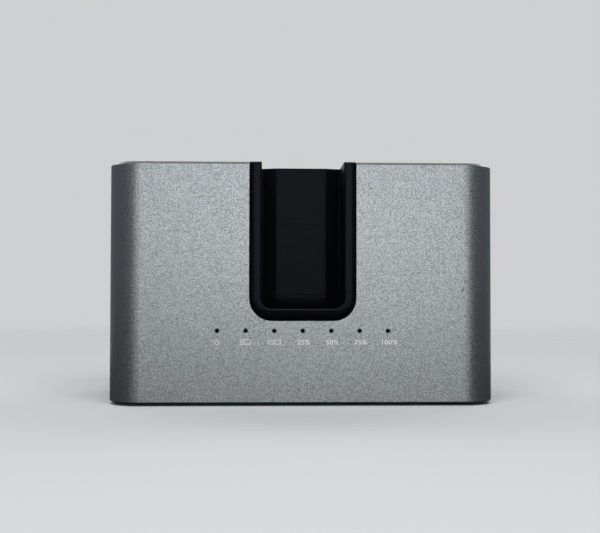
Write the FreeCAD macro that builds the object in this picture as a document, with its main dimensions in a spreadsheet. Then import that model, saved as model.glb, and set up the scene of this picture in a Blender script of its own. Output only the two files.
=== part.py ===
import FreeCAD, Part
import os
import re
import Sketcher
from FreeCAD import Placement, Rotation, Vector

# Desktop drive duplicator: a bead-blasted aluminium sleeve that stands upright, with a sprung-door
# bay for one 3.5 or 2.5 inch drive behind a U-shaped front channel for one M.2 card.
# Millimetres. X runs to the right seen from the front, Y runs to the back, Z runs up, and the
# origin is on the table under the middle of the sleeve.

SIZES = {
    # Sleeve, an extruded tube with a machined notch
    "sleeveWidth": 130.0,
    "sleeveDepth": 68.0,
    "sleeveHeight": 80.0,
    "sleeveCorner": 11.0,
    "sleeveWall": 2.2,
    "rimChamfer": 0.8,
    "hemChamfer": 0.4,
    "footDrop": 1.0,
    "notchWidth": 35.7,
    "notchDrop": 52.9,
    "notchCorner": 7.6,
    "ribWidth": 3.0,
    "ribReach": 1.6,
    "ribSpread": 28.0,
    # Row of status lights
    "lightCount": 7,
    "lightPitch": 9.45,
    "lightHole": 0.68,
    "lightDrop": 3.2,
    "pinGap": 0.07,
    "pinRecess": 0.5,
    "guideHeight": 3.2,
    "guideThickness": 1.4,
    "guideStandoff": 2.2,
    "chipWidth": 1.6,
    "chipHeight": 0.9,
    "chipThickness": 0.6,
    "lightBoardWidth": 66.0,
    "lightBoardRise": 4.1,
    "lightBoardThickness": 1.0,
    # Front channel for the M.2 card
    "lipWidth": 4.15,
    "lipProud": 0.9,
    "lipRound": 1.7,
    "lipInnerRound": 0.6,
    "lipTopChamfer": 0.8,
    "notchGap": 0.1,
    "flangeReach": 2.2,
    "flangeThickness": 1.6,
    "channelDepth": 18.2,
    "channelWall": 1.8,
    "panelThickness": 2.6,
    "panelStrip": 17.2,
    "panelLand": 0.35,
    "panelRebate": 0.9,
    "facetDrop": 1.5,
    "creaseRadius": 2.5,
    "seamRise": 4.7,
    "seamGap": 0.2,
    # Tray and socket at the foot of the channel
    "trayReach": 8.0,
    "socketWidth": 22.0,
    "socketDepth": 4.2,
    "socketBodyHeight": 9.0,
    "socketSink": 0.6,
    "socketMouth": 20.4,
    "socketSlot": 1.3,
    "socketSlotDepth": 5.6,
    "riserWidth": 32.0,
    "riserThickness": 1.2,
    "riserInset": 0.2,
    # Deck and base plate, which clamp on the ribs of the sleeve
    "fitGap": 0.15,
    "deckInset": 0.4,
    "deckThickness": 2.4,
    "deckChamfer": 0.3,
    "skirtHeight": 6.0,
    "skirtThickness": 1.6,
    "collarHeight": 5.4,
    "tieSide": 5.8,
    "tieEnd": 7.8,
    "tieBossRadius": 2.9,
    "tieBossHeight": 10.0,
    "tieRadius": 1.5,
    "tieHeadRadius": 2.7,
    "tieHeadHeight": 1.5,
    "tieGrip": 8.0,
    "tieSlack": 0.5,
    "tiePostWall": 1.2,
    "pilotGap": 0.05,
    "screwGap": 0.2,
    "baseInset": 0.4,
    "baseThickness": 2.4,
    "baseSkirt": 5.0,
    "ventCount": 9,
    "ventPitch": 5.0,
    "ventWidth": 2.0,
    "ventCorner": 0.8,
    "ventLength": 24.0,
    "footSide": 16.8,
    "footEnd": 12.8,
    "footRadius": 6.0,
    "footTaper": 0.5,
    "footSeat": 0.9,
    # Drive bay and its doors
    "bayGap": 0.6,
    "bayWall": 1.6,
    "baySide": 13.4,
    "bayRear": 18.1,
    "bayFloorThickness": 1.8,
    "bayFloorDrop": 4.6,
    "recessSlope": 4.0,
    "swingGap": 0.8,
    "earGap": 0.7,
    "earSetback": 2.4,
    "earPitch": 13.0,
    "earSize": 7.0,
    "earThickness": 2.2,
    "earScrewRadius": 1.25,
    "earScrewLength": 4.6,
    "earScrewSlack": 0.6,
    "earHeadRadius": 2.3,
    "earHeadHeight": 1.4,
    "earBossRadius": 2.7,
    "doorThickness": 1.6,
    "doorGap": 0.35,
    "doorChamfer": 0.3,
    "slimWidth": 71.4,
    "slimDepth": 10.6,
    "hingeDrop": 3.2,
    "barrelRadius": 1.4,
    "hingePinRadius": 0.75,
    "hingePinGap": 0.05,
    "hingePinSeat": 1.4,
    "hingePinSlack": 0.1,
    "springLength": 3.6,
    "springWire": 0.4,
    "springCoilRadius": 1.4,
    "springPitch": 0.5,
    "springTurns": 5,
    "springDoorLeg": 7.0,
    "springWallLeg": 6.0,
    # Main board and the drive socket
    "standoffHeight": 3.2,
    "standoffRadius": 2.7,
    "boardThickness": 1.6,
    "boardSide": 9.8,
    "boardFrontGap": 2.8,
    "boardBackGap": 1.0,
    "boardHoleSide": 4.5,
    "boardHoleFront": 7.0,
    "boardHoleBack": 17.8,
    "boardScrewRadius": 1.25,
    "boardScrewLength": 4.0,
    "boardScrewSlack": 0.4,
    "boardHeadRadius": 2.2,
    "boardHeadHeight": 1.2,
    "driveEdgeGap": 0.8,
    "driveSocketOffset": 30.1,
    "driveSocketSetback": 3.8,
    "driveSocketWidth": 42.0,
    "driveSocketDepth": 5.4,
    "driveSocketHeight": 13.0,
    "driveSocketGap": 0.4,
    "tongueSlot": 1.5,
    "tongueSlotDepth": 6.0,
    "dataSlotWidth": 11.2,
    "powerSlotWidth": 21.4,
    "slotBridge": 1.6,
    "contactPitch": 1.27,
    "contactWidth": 0.5,
    "contactThickness": 0.2,
    "contactDrop": 1.0,
    "cardContactCount": 26,
    "dataContactCount": 7,
    "powerContactCount": 15,
    "headerHeight": 2.5,
    "headerDepth": 2.5,
    "lightHeaderWidth": 20.3,
    "riserHeaderWidth": 25.4,
    # Rear connectors and controls
    "plugX": 0.0,
    "plugWidth": 8.94,
    "plugHeight": 3.26,
    "plugShell": 0.3,
    "plugLength": 9.0,
    "plugRecess": 0.6,
    "plugGap": 0.3,
    "plugCoreGap": 0.01,
    "plugTongueWidth": 6.7,
    "plugTongueThickness": 0.7,
    "plugTongueLength": 5.0,
    "inletOffset": 18.5,
    "inletWidth": 9.0,
    "inletLength": 12.4,
    "inletHeight": 11.0,
    "inletRise": 6.5,
    "inletBore": 3.1,
    "inletBoreDepth": 9.5,
    "inletPinRadius": 1.0,
    "inletPinLength": 8.4,
    "inletHole": 3.9,
    "wallTouch": 0.1,
    "switchSide": 18.3,
    "switchRise": 7.0,
    "switchWidth": 12.8,
    "switchHeight": 8.4,
    "switchLength": 11.0,
    "switchGap": 0.1,
    "legWidth": 1.2,
    "legThickness": 0.6,
    "legInset": 2.0,
    "bezelRim": 1.1,
    "bezelProud": 1.0,
    "switchWell": 0.9,
    "switchWellDepth": 7.0,
    "rockerGap": 0.15,
    "rockerSwing": 0.45,
    "rockerCrown": 1.0,
    "rockerTilt": 8.0,
    "rockerPivotDrop": 0.4,
    "rockerRoot": 2.6,
    "rockerRootHalf": 3.0,
    "trunnionRadius": 0.7,
    "trunnionLength": 0.6,
    "trunnionGap": 0.05,
    "cloneX": -30.0,
    "cloneRise": 4.6,
    "buttonRadius": 2.6,
    "buttonProud": 0.7,
    "buttonGap": 0.15,
    "buttonFlange": 3.5,
    "buttonFlangeThickness": 1.4,
    "buttonStop": 0.2,
    "buttonTravel": 0.8,
    "buttonDome": 0.5,
    "plungerRadius": 1.2,
    "plungerLength": 2.4,
    "plungerGap": 0.1,
    "plungerSlack": 0.2,
    "pressGap": 0.4,
    "tactWidth": 6.4,
    "tactHeight": 7.4,
    "tactLength": 5.2,
    # Parts soldered to the main board
    "bridgeX": 30.0,
    "bridgeSetback": 17.0,
    "bridgeSize": 10.0,
    "bridgeThickness": 0.9,
    "padThickness": 0.5,
    "sinkSize": 18.0,
    "sinkBase": 1.4,
    "finHeight": 3.0,
    "finThickness": 0.9,
    "finCount": 6,
    "controllerX": -32.0,
    "controllerY": -4.0,
    "controllerSize": 12.0,
    "controllerThickness": 1.4,
    "coilSide": 31.0,
    "coilSetback": 6.6,
    "coilSize": 6.6,
    "coilHeight": 3.0,
    "coilPitch": 9.0,
    "coilCount": 3,
    "capacitorX": -9.5,
    "capacitorSetback": 5.8,
    "capacitorRadius": 3.15,
    "capacitorHeight": 7.7,
    "capacitorPitch": 6.8,
    "capacitorCount": 3,
    "crystalX": -26.0,
    "crystalY": -18.0,
    "crystalLength": 11.4,
    "crystalWidth": 4.6,
    "crystalHeight": 3.6,
}

# Places worked out from the sizes, as formulas that the spreadsheet can read
FRONT = "(-sleeveDepth / 2)"
BACK = "(sleeveDepth / 2)"
RIM = "(footDrop + sleeveHeight)"
INNER_SIDE = "(sleeveWidth / 2 - sleeveWall)"
INNER_BACK = f"({BACK} - sleeveWall)"
INNER_FRONT = f"({FRONT} + sleeveWall)"
INNER_CORNER = "(sleeveCorner - sleeveWall)"
DECK_TOP = f"({RIM} - deckInset)"
DECK_UNDER = f"({DECK_TOP} - deckThickness)"
COLLAR_FOOT = f"({DECK_TOP} - collarHeight)"
SKIRT_FOOT = f"({DECK_TOP} - skirtHeight)"
BASE_UNDER = "(footDrop + baseInset)"
BASE_TOP = f"({BASE_UNDER} + baseThickness)"
BASE_RIM = f"({BASE_UNDER} + baseSkirt)"
BOARD_UNDER = f"({BASE_TOP} + standoffHeight)"
BOARD_TOP = f"({BOARD_UNDER} + boardThickness)"
BOARD_HALF = f"({INNER_SIDE} - boardSide)"
BOARD_FRONT = f"({INNER_FRONT} + boardFrontGap)"
BOARD_BACK = f"({INNER_BACK} - boardBackGap)"
TIE_X = f"({INNER_SIDE} - tieSide)"
TIE_Y = f"({INNER_BACK} - tieEnd)"
FOOT_X = f"({INNER_SIDE} - footSide)"
FOOT_Y = f"({INNER_BACK} - footEnd)"
NOTCH_FLOOR = f"({RIM} - notchDrop)"
LIGHT_Z = f"({NOTCH_FLOOR} - lightDrop)"
NOTCH_HALF = "(notchWidth / 2)"
LIP_HALF = f"({NOTCH_HALF} - lipWidth)"
LIP_FLOOR = f"({NOTCH_FLOOR} + lipWidth)"
LIP_CORNER = "(notchCorner - lipWidth)"
LIP_FRONT = f"({FRONT} - lipProud)"
CHANNEL_BACK = f"({LIP_FRONT} + channelDepth)"
CHANNEL_REAR = f"({CHANNEL_BACK} + panelThickness)"
PANEL_STEP = f"({CHANNEL_BACK} + facetDrop)"
CHANNEL_FOOT = f"({LIP_FLOOR} - channelWall)"
SEAM = f"({LIP_FLOOR} + seamRise)"
TRAY_FRONT = f"({CHANNEL_REAR} - trayReach)"
BAY_FRONT = f"({CHANNEL_REAR} + bayGap + bayWall)"
BAY_BACK = f"({BACK} - bayRear)"
BAY_HALF = "(sleeveWidth / 2 - baySide)"
EAR_REACH = f"({INNER_SIDE} - ribReach - earGap)"
EAR_X = f"(({BAY_HALF} + bayWall + {EAR_REACH}) / 2)"
EAR_BACK = f"({BAY_BACK} - earSetback)"
HINGE_Y = f"({BAY_BACK} + doorGap + hingeDrop)"
HINGE_Z = f"({DECK_TOP} - hingeDrop)"
RECESS_BACK = f"({HINGE_Y} + barrelRadius + doorGap)"
RECESS_FOOT = f"({HINGE_Z} - {HINGE_Y} + {BAY_FRONT} - swingGap)"
BAY_FLOOR = f"({BOARD_TOP} + driveSocketHeight - bayFloorDrop)"
DOOR_UNDER = f"({DECK_TOP} - doorThickness)"
DOOR_HALF = f"({BAY_HALF} - doorGap)"
DOOR_REAR = f"({HINGE_Y} + barrelRadius)"
SLIM_EAST = f"(slimWidth - {DOOR_HALF})"
SLIM_FRONT = f"({BAY_BACK} - slimDepth)"
SLIM_SPRING = f"(({SLIM_EAST} - {DOOR_HALF}) / 2)"
WIDE_SPRING = f"(({SLIM_EAST} + doorGap + {DOOR_HALF}) / 2)"
SOCKET_X = f"(driveEdgeGap + driveSocketOffset - {BAY_HALF})"
SOCKET_Y = f"({BAY_BACK} - driveSocketSetback)"
RISER_Y = f"({CHANNEL_BACK} + riserInset)"
CARD_SOCKET_TOP = f"({LIP_FLOOR} - socketSink)"
PLUG_Z = f"({BOARD_TOP} + plugHeight / 2)"
SWITCH_X = f"({INNER_SIDE} - switchSide)"
SWITCH_Z = f"({BOARD_TOP} + switchRise)"
INLET_X = f"({SWITCH_X} - inletOffset)"
INLET_Z = f"({BOARD_TOP} + inletRise)"
CLONE_Z = f"({BOARD_TOP} + cloneRise)"
PIVOT_Y = f"({BACK} - rockerPivotDrop)"
FLANGE_FACE = f"({INNER_BACK} - buttonStop)"
LIGHT_BOARD_Y = f"({INNER_FRONT} + guideStandoff + guideThickness + chipThickness)"
LIGHT_BOARD_REAR = f"({LIGHT_BOARD_Y} + lightBoardThickness)"
COIL_X = f"({BOARD_HALF} - coilSide)"
COIL_Y = f"({LIGHT_BOARD_REAR} + coilSetback)"
BRIDGE_Y = f"({COIL_Y} + bridgeSetback)"
CAPACITOR_Y = f"({BOARD_BACK} - capacitorSetback)"

# Clearance for telling edges apart, and how far a cutting outline runs past the solid
NEAR = 1e-4
PAST = 1

doc = FreeCAD.newDocument("drive_duplicator")
sheet = doc.addObject("Spreadsheet::Sheet", "sizes")
for row, (alias, size) in enumerate(SIZES.items(), start=1):
    sheet.set(f"A{row}", alias)
    sheet.set(f"B{row}", str(size))
    sheet.setAlias(f"B{row}", alias)
doc.recompute()

NODES = []


def cell(formula):
    """The formula with every size replaced by its cell of the sheet."""

    def in_sheet(word):
        return f"sizes.{word[0]}" if word[0] in SIZES else word[0]

    return re.sub(r"[A-Za-z]+", in_sheet, str(formula))


def number(formula):
    """What a formula comes to at the sizes of the sheet."""
    return float(sheet.evalExpression(cell(formula)))


def bind(feature, **formulas):
    """Ties properties of a feature to formulas; Base_z stands for Placement.Base.z."""
    for name, formula in formulas.items():
        path = "Placement." + name.replace("_", ".") if name.startswith("Base_") else name
        feature.setExpression(path, cell(formula))


def node(feature, label):
    """Marks a feature as a finished piece, whose label names its file."""
    feature.Label = label
    NODES.append(feature)
    return feature


# Sketches on the origin planes of a body
def sketch_on(body, plane, offset=0):
    """A sketch parallel to a plane of the body: XY faces up, XZ faces the front, YZ faces right."""
    sketch = body.newObject("Sketcher::SketchObject", f"{body.Name}_outline")
    origin = next(item for item in body.Origin.OriginFeatures if item.Role == f"{plane}_Plane")
    sketch.AttachmentSupport = [(origin, "")]
    sketch.MapMode = "FlatFace"
    sketch.setExpression("AttachmentOffset.Base.z", cell(offset))
    return sketch


def fix_point(sketch, geometry, end, x=None, y=None):
    """Dimensions one end of a line or arc from the sketch's origin."""
    for kind, formula in (("DistanceX", x), ("DistanceY", y)):
        if formula is not None:
            row = sketch.addConstraint(Sketcher.Constraint(kind, -1, 1, geometry, end, number(formula)))
            sketch.setExpression(f"Constraints[{row}]", cell(formula))


def fix_radius(sketch, geometry, formula):
    """Dimensions the radius of an arc or circle."""
    row = sketch.addConstraint(Sketcher.Constraint("Radius", geometry, number(formula)))
    sketch.setExpression(f"Constraints[{row}]", cell(formula))


def outline(sketch, corners):
    """A closed outline through corners (x, y) or (x, y, radius); rounded corners are square ones."""
    spots = [Vector(number(c[0]), number(c[1])) for c in corners]
    radii = [number(c[2]) if len(c) > 2 else 0 for c in corners]
    count = len(corners)
    ways = [(spots[(i + 1) % count] - spots[i]).normalize() for i in range(count)]
    lines = []
    for i in range(count):
        start = spots[i] + ways[i] * radii[i]
        end = spots[(i + 1) % count] - ways[i] * radii[(i + 1) % count]
        lines.append(sketch.addGeometry(Part.LineSegment(start, end)))
    for i in range(count):
        before = lines[i - 1]
        after = lines[i]
        if radii[i] == 0:
            sketch.addConstraint(Sketcher.Constraint("Coincident", before, 2, after, 1))
            fix_point(sketch, after, 1, corners[i][0], corners[i][1])
            continue
        entry = spots[i] - ways[i - 1] * radii[i]
        leave = spots[i] + ways[i] * radii[i]
        middle = spots[i] + (ways[i] - ways[i - 1]) * radii[i]
        through = middle + (spots[i] - middle).normalize() * radii[i]
        arc = sketch.addGeometry(Part.Arc(entry, through, leave))
        turns_left = ways[i - 1].cross(ways[i]).z > 0
        first, last = (1, 2) if turns_left else (2, 1)
        sketch.addConstraint(Sketcher.Constraint("Tangent", before, 2, arc, first))
        sketch.addConstraint(Sketcher.Constraint("Tangent", arc, last, after, 1))
        fix_radius(sketch, arc, corners[i][2])
    for i in range(count):
        rounded = (radii[i] > 0, radii[(i + 1) % count] > 0)
        if not any(rounded):
            continue
        level = abs(ways[i].x) > abs(ways[i].y)
        sketch.addConstraint(Sketcher.Constraint("Horizontal" if level else "Vertical", lines[i]))
        if all(rounded) and level:
            fix_point(sketch, lines[i], 1, y=corners[i][1])
        elif all(rounded):
            fix_point(sketch, lines[i], 1, x=corners[i][0])


def rectangle(sketch, west, east, south, north, radius=None):
    """A rectangle, with round corners where a radius is given."""
    places = [(west, south), (east, south), (east, north), (west, north)]
    outline(sketch, [place + (radius,) if radius else place for place in places])


def circle(sketch, x, y, radius):
    """A circle about a point."""
    shape = Part.Circle(Vector(number(x), number(y)), Vector(0, 0, 1), number(radius))
    ring = sketch.addGeometry(shape)
    fix_point(sketch, ring, 3, x, y)
    fix_radius(sketch, ring, radius)


def slot(sketch, x, y, width, height):
    """A level slot with round ends about a point."""
    half = number(f"({width} - {height}) / 2")
    radius = number(f"{height} / 2")
    centre = Vector(number(x), number(y))
    side = Vector(half, 0)
    rise = Vector(0, radius)
    out = Vector(radius, 0)
    east = sketch.addGeometry(Part.Arc(centre + side - rise, centre + side + out, centre + side + rise))
    west = sketch.addGeometry(Part.Arc(centre - side + rise, centre - side - out, centre - side - rise))
    top = sketch.addGeometry(Part.LineSegment(centre + side + rise, centre - side + rise))
    foot = sketch.addGeometry(Part.LineSegment(centre - side - rise, centre + side - rise))
    for first, first_end, second, second_end in (
        (foot, 2, east, 1), (east, 2, top, 1), (top, 2, west, 1), (west, 2, foot, 1),
    ):
        sketch.addConstraint(Sketcher.Constraint("Tangent", first, first_end, second, second_end))
    fix_point(sketch, east, 3, f"{x} + ({width} - {height}) / 2", y)
    fix_point(sketch, west, 3, f"{x} - ({width} - {height}) / 2", y)
    fix_radius(sketch, east, f"{height} / 2")


# Features of a body
def extrude(body, kind, sketch, length, reverse=False, both_ways=False):
    """Adds (Pad) or cuts (Pocket) a sketch to a length, along its normal for a Pad."""
    feature = body.newObject(f"PartDesign::{kind}", f"{body.Name}_{kind.lower()}")
    feature.Profile = sketch
    feature.Reversed = reverse
    feature.SideType = "Symmetric" if both_ways else "One side"
    bind(feature, Length=length)
    sketch.Visibility = False
    doc.recompute()
    return feature


def pad(body, plane, offset, length, *draw, reverse=False, both_ways=False):
    """Adds outlines drawn on a plane to the body."""
    sketch = sketch_on(body, plane, offset)
    for shape, *places in draw:
        shape(sketch, *places)
    return extrude(body, "Pad", sketch, length, reverse, both_ways)


def pocket(body, plane, offset, length, *draw, reverse=False, both_ways=False):
    """Cuts outlines drawn on a plane out of the body, and makes sure that something was cut."""
    before = body.Shape.Volume
    sketch = sketch_on(body, plane, offset)
    for shape, *places in draw:
        shape(sketch, *places)
    feature = extrude(body, "Pocket", sketch, length, reverse, both_ways)
    if body.Shape.Volume > before - NEAR:
        raise RuntimeError(f"a pocket of {body.Label} cuts nothing")
    return feature


def edges_at(feature, wanted):
    """Names of the feature's edges for which wanted(edge) is true."""
    return [f"Edge{i}" for i, edge in enumerate(feature.Shape.Edges, start=1) if wanted(edge)]


def ease(body, kind, feature, size, wanted):
    """A Fillet or Chamfer of one size on the wanted edges."""
    names = edges_at(feature, wanted)
    if not names:
        raise RuntimeError(f"no edge of {body.Label} to ease")
    made = body.newObject(f"PartDesign::{kind}", f"{body.Name}_{kind.lower()}")
    made.Base = (feature, names)
    bind(made, **{"Radius" if kind == "Fillet" else "Size": size})
    doc.recompute()
    return made


def lies_at(edge, axis, place):
    """True where the whole edge has one coordinate, x, y or z, at a place."""
    low = getattr(edge.BoundBox, axis.upper() + "Min")
    high = getattr(edge.BoundBox, axis.upper() + "Max")
    return abs(low - place) < NEAR and abs(high - place) < NEAR


def repeat(body, feature, axis, pitch, count):
    """Copies a feature along an axis of the body's origin, count times in all."""
    pattern = body.newObject("PartDesign::LinearPattern", f"{body.Name}_row")
    pattern.Originals = [feature]
    line = next(item for item in body.Origin.OriginFeatures if item.Role == f"{axis}_Axis")
    pattern.Direction = (line, [""])
    bind(pattern, Length=f"{pitch} * ({count} - 1)", Occurrences=count)
    body.Tip = pattern
    doc.recompute()
    return pattern


def new_body(label):
    """An empty body that becomes the node of that name."""
    return node(doc.addObject("PartDesign::Body", label), label)


# Primitives, for pieces cut from plain stock and for soldered parts
def block(name, west, east, front, back, low, high):
    """A box between six formulas."""
    box = doc.addObject("Part::Box", name)
    bind(box, Length=f"({east}) - ({west})", Width=f"({back}) - ({front})", Height=f"({high}) - ({low})")
    bind(box, Base_x=west, Base_y=front, Base_z=low)
    return box


def block_at(name, x, y, low, width, depth, height):
    """A box that stands at low, centred on a point."""
    edges = (f"{x} - {width} / 2", f"{x} + {width} / 2", f"{y} - {depth} / 2", f"{y} + {depth} / 2")
    return block(name, *edges, low, f"{low} + {height}")


def rod(name, x, y, z, radius, length, axis="Z"):
    """A cylinder from a point along an axis."""
    cylinder = doc.addObject("Part::Cylinder", name)
    turns = {"X": Rotation(Vector(0, 1, 0), 90), "Y": Rotation(Vector(1, 0, 0), -90), "Z": Rotation()}
    cylinder.Placement = Placement(Vector(), turns[axis])
    bind(cylinder, Radius=radius, Height=length, Base_x=x, Base_y=y, Base_z=z)
    return cylinder


def joined(name, base, tool):
    """Two touching solids made into one."""
    fuse = doc.addObject("Part::Fuse", name)
    fuse.Base = base
    fuse.Tool = tool
    return fuse


def cut(name, base, tool):
    """A solid with another taken out of it."""
    made = doc.addObject("Part::Cut", name)
    made.Base = base
    made.Tool = tool
    return made


def group(label, pieces):
    """Separate solids that share one node."""
    compound = doc.addObject("Part::Compound", label)
    compound.Links = pieces
    return node(compound, label)


def screw(name, x, y, under_head, head_radius, head_height, shank_radius, shank_length):
    """A pan-head screw that points up, with the top of its shank above under_head."""
    head = rod(f"{name}_head", x, y, f"{under_head} - {head_height}", head_radius, head_height)
    shank = rod(f"{name}_shank", x, y, under_head, shank_radius, shank_length)
    return joined(name, head, shank)


def corners_of(x, y):
    """The four corners of a rectangle about the origin, as formulas."""
    return [(f"({a} * {x})", f"({b} * {y})") for a in (-1, 1) for b in (-1, 1)]


def span(side, near, far):
    """Two formulas in rising order, between near and far on one side of the middle."""
    return sorted((f"{side} * ({near})", f"{side} * ({far})"), key=number)


def make_sleeve():
    """Extruded tube with a U notch, light holes, seat ribs and rear cut-outs."""
    body = new_body("outer_sleeve")
    edge = ("-sleeveWidth / 2", "sleeveWidth / 2", FRONT, BACK, "sleeveCorner")
    tube = pad(body, "XY", "footDrop", "sleeveHeight", (rectangle, *edge))
    rim, hem = number(RIM), number("footDrop")
    tube = ease(body, "Chamfer", tube, "rimChamfer", lambda e: lies_at(e, "z", rim))
    ease(body, "Chamfer", tube, "hemChamfer", lambda e: lies_at(e, "z", hem))
    bore = (f"-{INNER_SIDE}", INNER_SIDE, INNER_FRONT, INNER_BACK, INNER_CORNER)
    pocket(body, "XY", RIM, "sleeveHeight", (rectangle, *bore))
    ribs = []
    for side in (-1, 1):
        reach = span(side, f"{INNER_SIDE} - ribReach", f"{INNER_SIDE} + sleeveWall / 2")
        for place in (-1, 1):
            middle = f"{place} * ribSpread / 2"
            ribs.append((rectangle, *reach, f"{middle} - ribWidth / 2", f"{middle} + ribWidth / 2"))
    pad(body, "XY", BASE_RIM, f"{SKIRT_FOOT} - {BASE_RIM}", *ribs)
    before_front = f"{PAST} - {FRONT}"
    through = f"sleeveWall + 2 * {PAST}"
    notch = [
        (f"-{NOTCH_HALF}", f"{RIM} + {PAST}"),
        (f"-{NOTCH_HALF}", NOTCH_FLOOR, "notchCorner"),
        (NOTCH_HALF, NOTCH_FLOOR, "notchCorner"),
        (NOTCH_HALF, f"{RIM} + {PAST}"),
    ]
    pocket(body, "XZ", before_front, through, (outline, notch))
    first_light = "lightPitch * (1 - lightCount) / 2"
    hole = pocket(body, "XZ", before_front, through, (circle, first_light, LIGHT_Z, "lightHole"))
    repeat(body, hole, "X", "lightPitch", "lightCount")
    behind_back = f"-{PAST} - {BACK}"
    inlet = (circle, INLET_X, INLET_Z, "inletHole")
    plug = (slot, "plugX", PLUG_Z, "(plugWidth + 2 * plugGap)", "(plugHeight + 2 * plugGap)")
    switch = (
        rectangle,
        f"{SWITCH_X} - switchWidth / 2 - switchGap",
        f"{SWITCH_X} + switchWidth / 2 + switchGap",
        f"{SWITCH_Z} - switchHeight / 2 - switchGap",
        f"{SWITCH_Z} + switchHeight / 2 + switchGap",
    )
    button = (circle, "cloneX", CLONE_Z, "buttonRadius + buttonGap")
    pocket(body, "XZ", behind_back, through, inlet, plug, switch, button, reverse=True)


def make_deck():
    """Black moulding that closes the top round the bay and the front channel."""
    body = new_body("top_deck")
    side = f"({INNER_SIDE} - fitGap)"
    front, back = f"({INNER_FRONT} + fitGap)", f"({INNER_BACK} - fitGap)"
    corner = f"({INNER_CORNER} - fitGap)"
    plate = (rectangle, f"-{side}", side, front, back, corner)
    top = pad(body, "XY", DECK_UNDER, "deckThickness", plate)
    height = number(DECK_TOP)
    ease(body, "Chamfer", top, "deckChamfer", lambda e: lies_at(e, "z", height))
    inside = (
        rectangle, f"skirtThickness - {side}", f"{side} - skirtThickness",
        f"{front} + skirtThickness", f"{back} - skirtThickness", f"{corner} - skirtThickness",
    )
    pad(body, "XY", SKIRT_FOOT, f"{DECK_UNDER} - {SKIRT_FOOT}", plate, inside)
    bosses = [(circle, x, y, "tieBossRadius") for x, y in corners_of(TIE_X, TIE_Y)]
    pad(body, "XY", f"{DECK_UNDER} - tieBossHeight", "tieBossHeight", *bosses)
    collar = (rectangle, f"-{BAY_HALF} - bayWall", f"{BAY_HALF} + bayWall",
              f"{BAY_FRONT} - bayWall", f"{RECESS_BACK} + bayWall")
    pad(body, "XY", COLLAR_FOOT, f"{DECK_UNDER} - {COLLAR_FOOT}", collar)
    ears = [(circle, x, y, "earBossRadius") for x, y in ear_places()]
    pad(body, "XY", COLLAR_FOOT, f"{DECK_UNDER} - {COLLAR_FOOT}", *ears)
    mouth = (rectangle, f"-{BAY_HALF}", BAY_HALF, BAY_FRONT, RECESS_BACK)
    opened = pocket(body, "XY", DECK_TOP, "collarHeight", mouth)
    half = number(BAY_HALF) + NEAR
    south, north = number(BAY_FRONT) - NEAR, number(RECESS_BACK) + NEAR

    def round_the_mouth(edge):
        box = edge.BoundBox
        inside_x = box.XMin > -half and box.XMax < half
        return lies_at(edge, "z", height) and inside_x and box.YMin > south and box.YMax < north

    ease(body, "Chamfer", opened, "deckChamfer", round_the_mouth)
    wide = f"({NOTCH_HALF} + flangeReach + fitGap)"
    neck = f"({LIP_HALF} + channelWall + fitGap)"
    step = f"({INNER_FRONT} + notchGap + flangeThickness + fitGap)"
    rear = f"({CHANNEL_REAR} + fitGap)"
    channel = [
        (f"-{wide}", f"{front} - {PAST}"), (wide, f"{front} - {PAST}"), (wide, step), (neck, step),
        (neck, rear), (f"-{neck}", rear), (f"-{neck}", step), (f"-{wide}", step),
    ]
    pocket(body, "XY", f"{DECK_TOP} + {PAST}", f"skirtHeight + 2 * {PAST}", (outline, channel))
    pilots = [(circle, x, y, "tieRadius + pilotGap") for x, y in corners_of(TIE_X, TIE_Y)]
    pocket(body, "XY", f"{DECK_UNDER} - tieBossHeight", "tieGrip + tieSlack", *pilots, reverse=True)
    pilots = [(circle, x, y, "earScrewRadius + pilotGap") for x, y in ear_places()]
    pocket(body, "XY", COLLAR_FOOT, "earScrewLength", *pilots, reverse=True)
    bore = (circle, HINGE_Y, HINGE_Z, "hingePinRadius + hingePinGap")
    pocket(body, "YZ", 0, f"2 * ({BAY_HALF} + hingePinSeat + hingePinSlack)", bore, both_ways=True)


def ear_places():
    """Where the drive bay is screwed to the deck."""
    return [(f"({side} * {EAR_X})", f"({EAR_BACK} - {i} * earPitch)") for side in (-1, 1) for i in (0, 1)]


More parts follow.
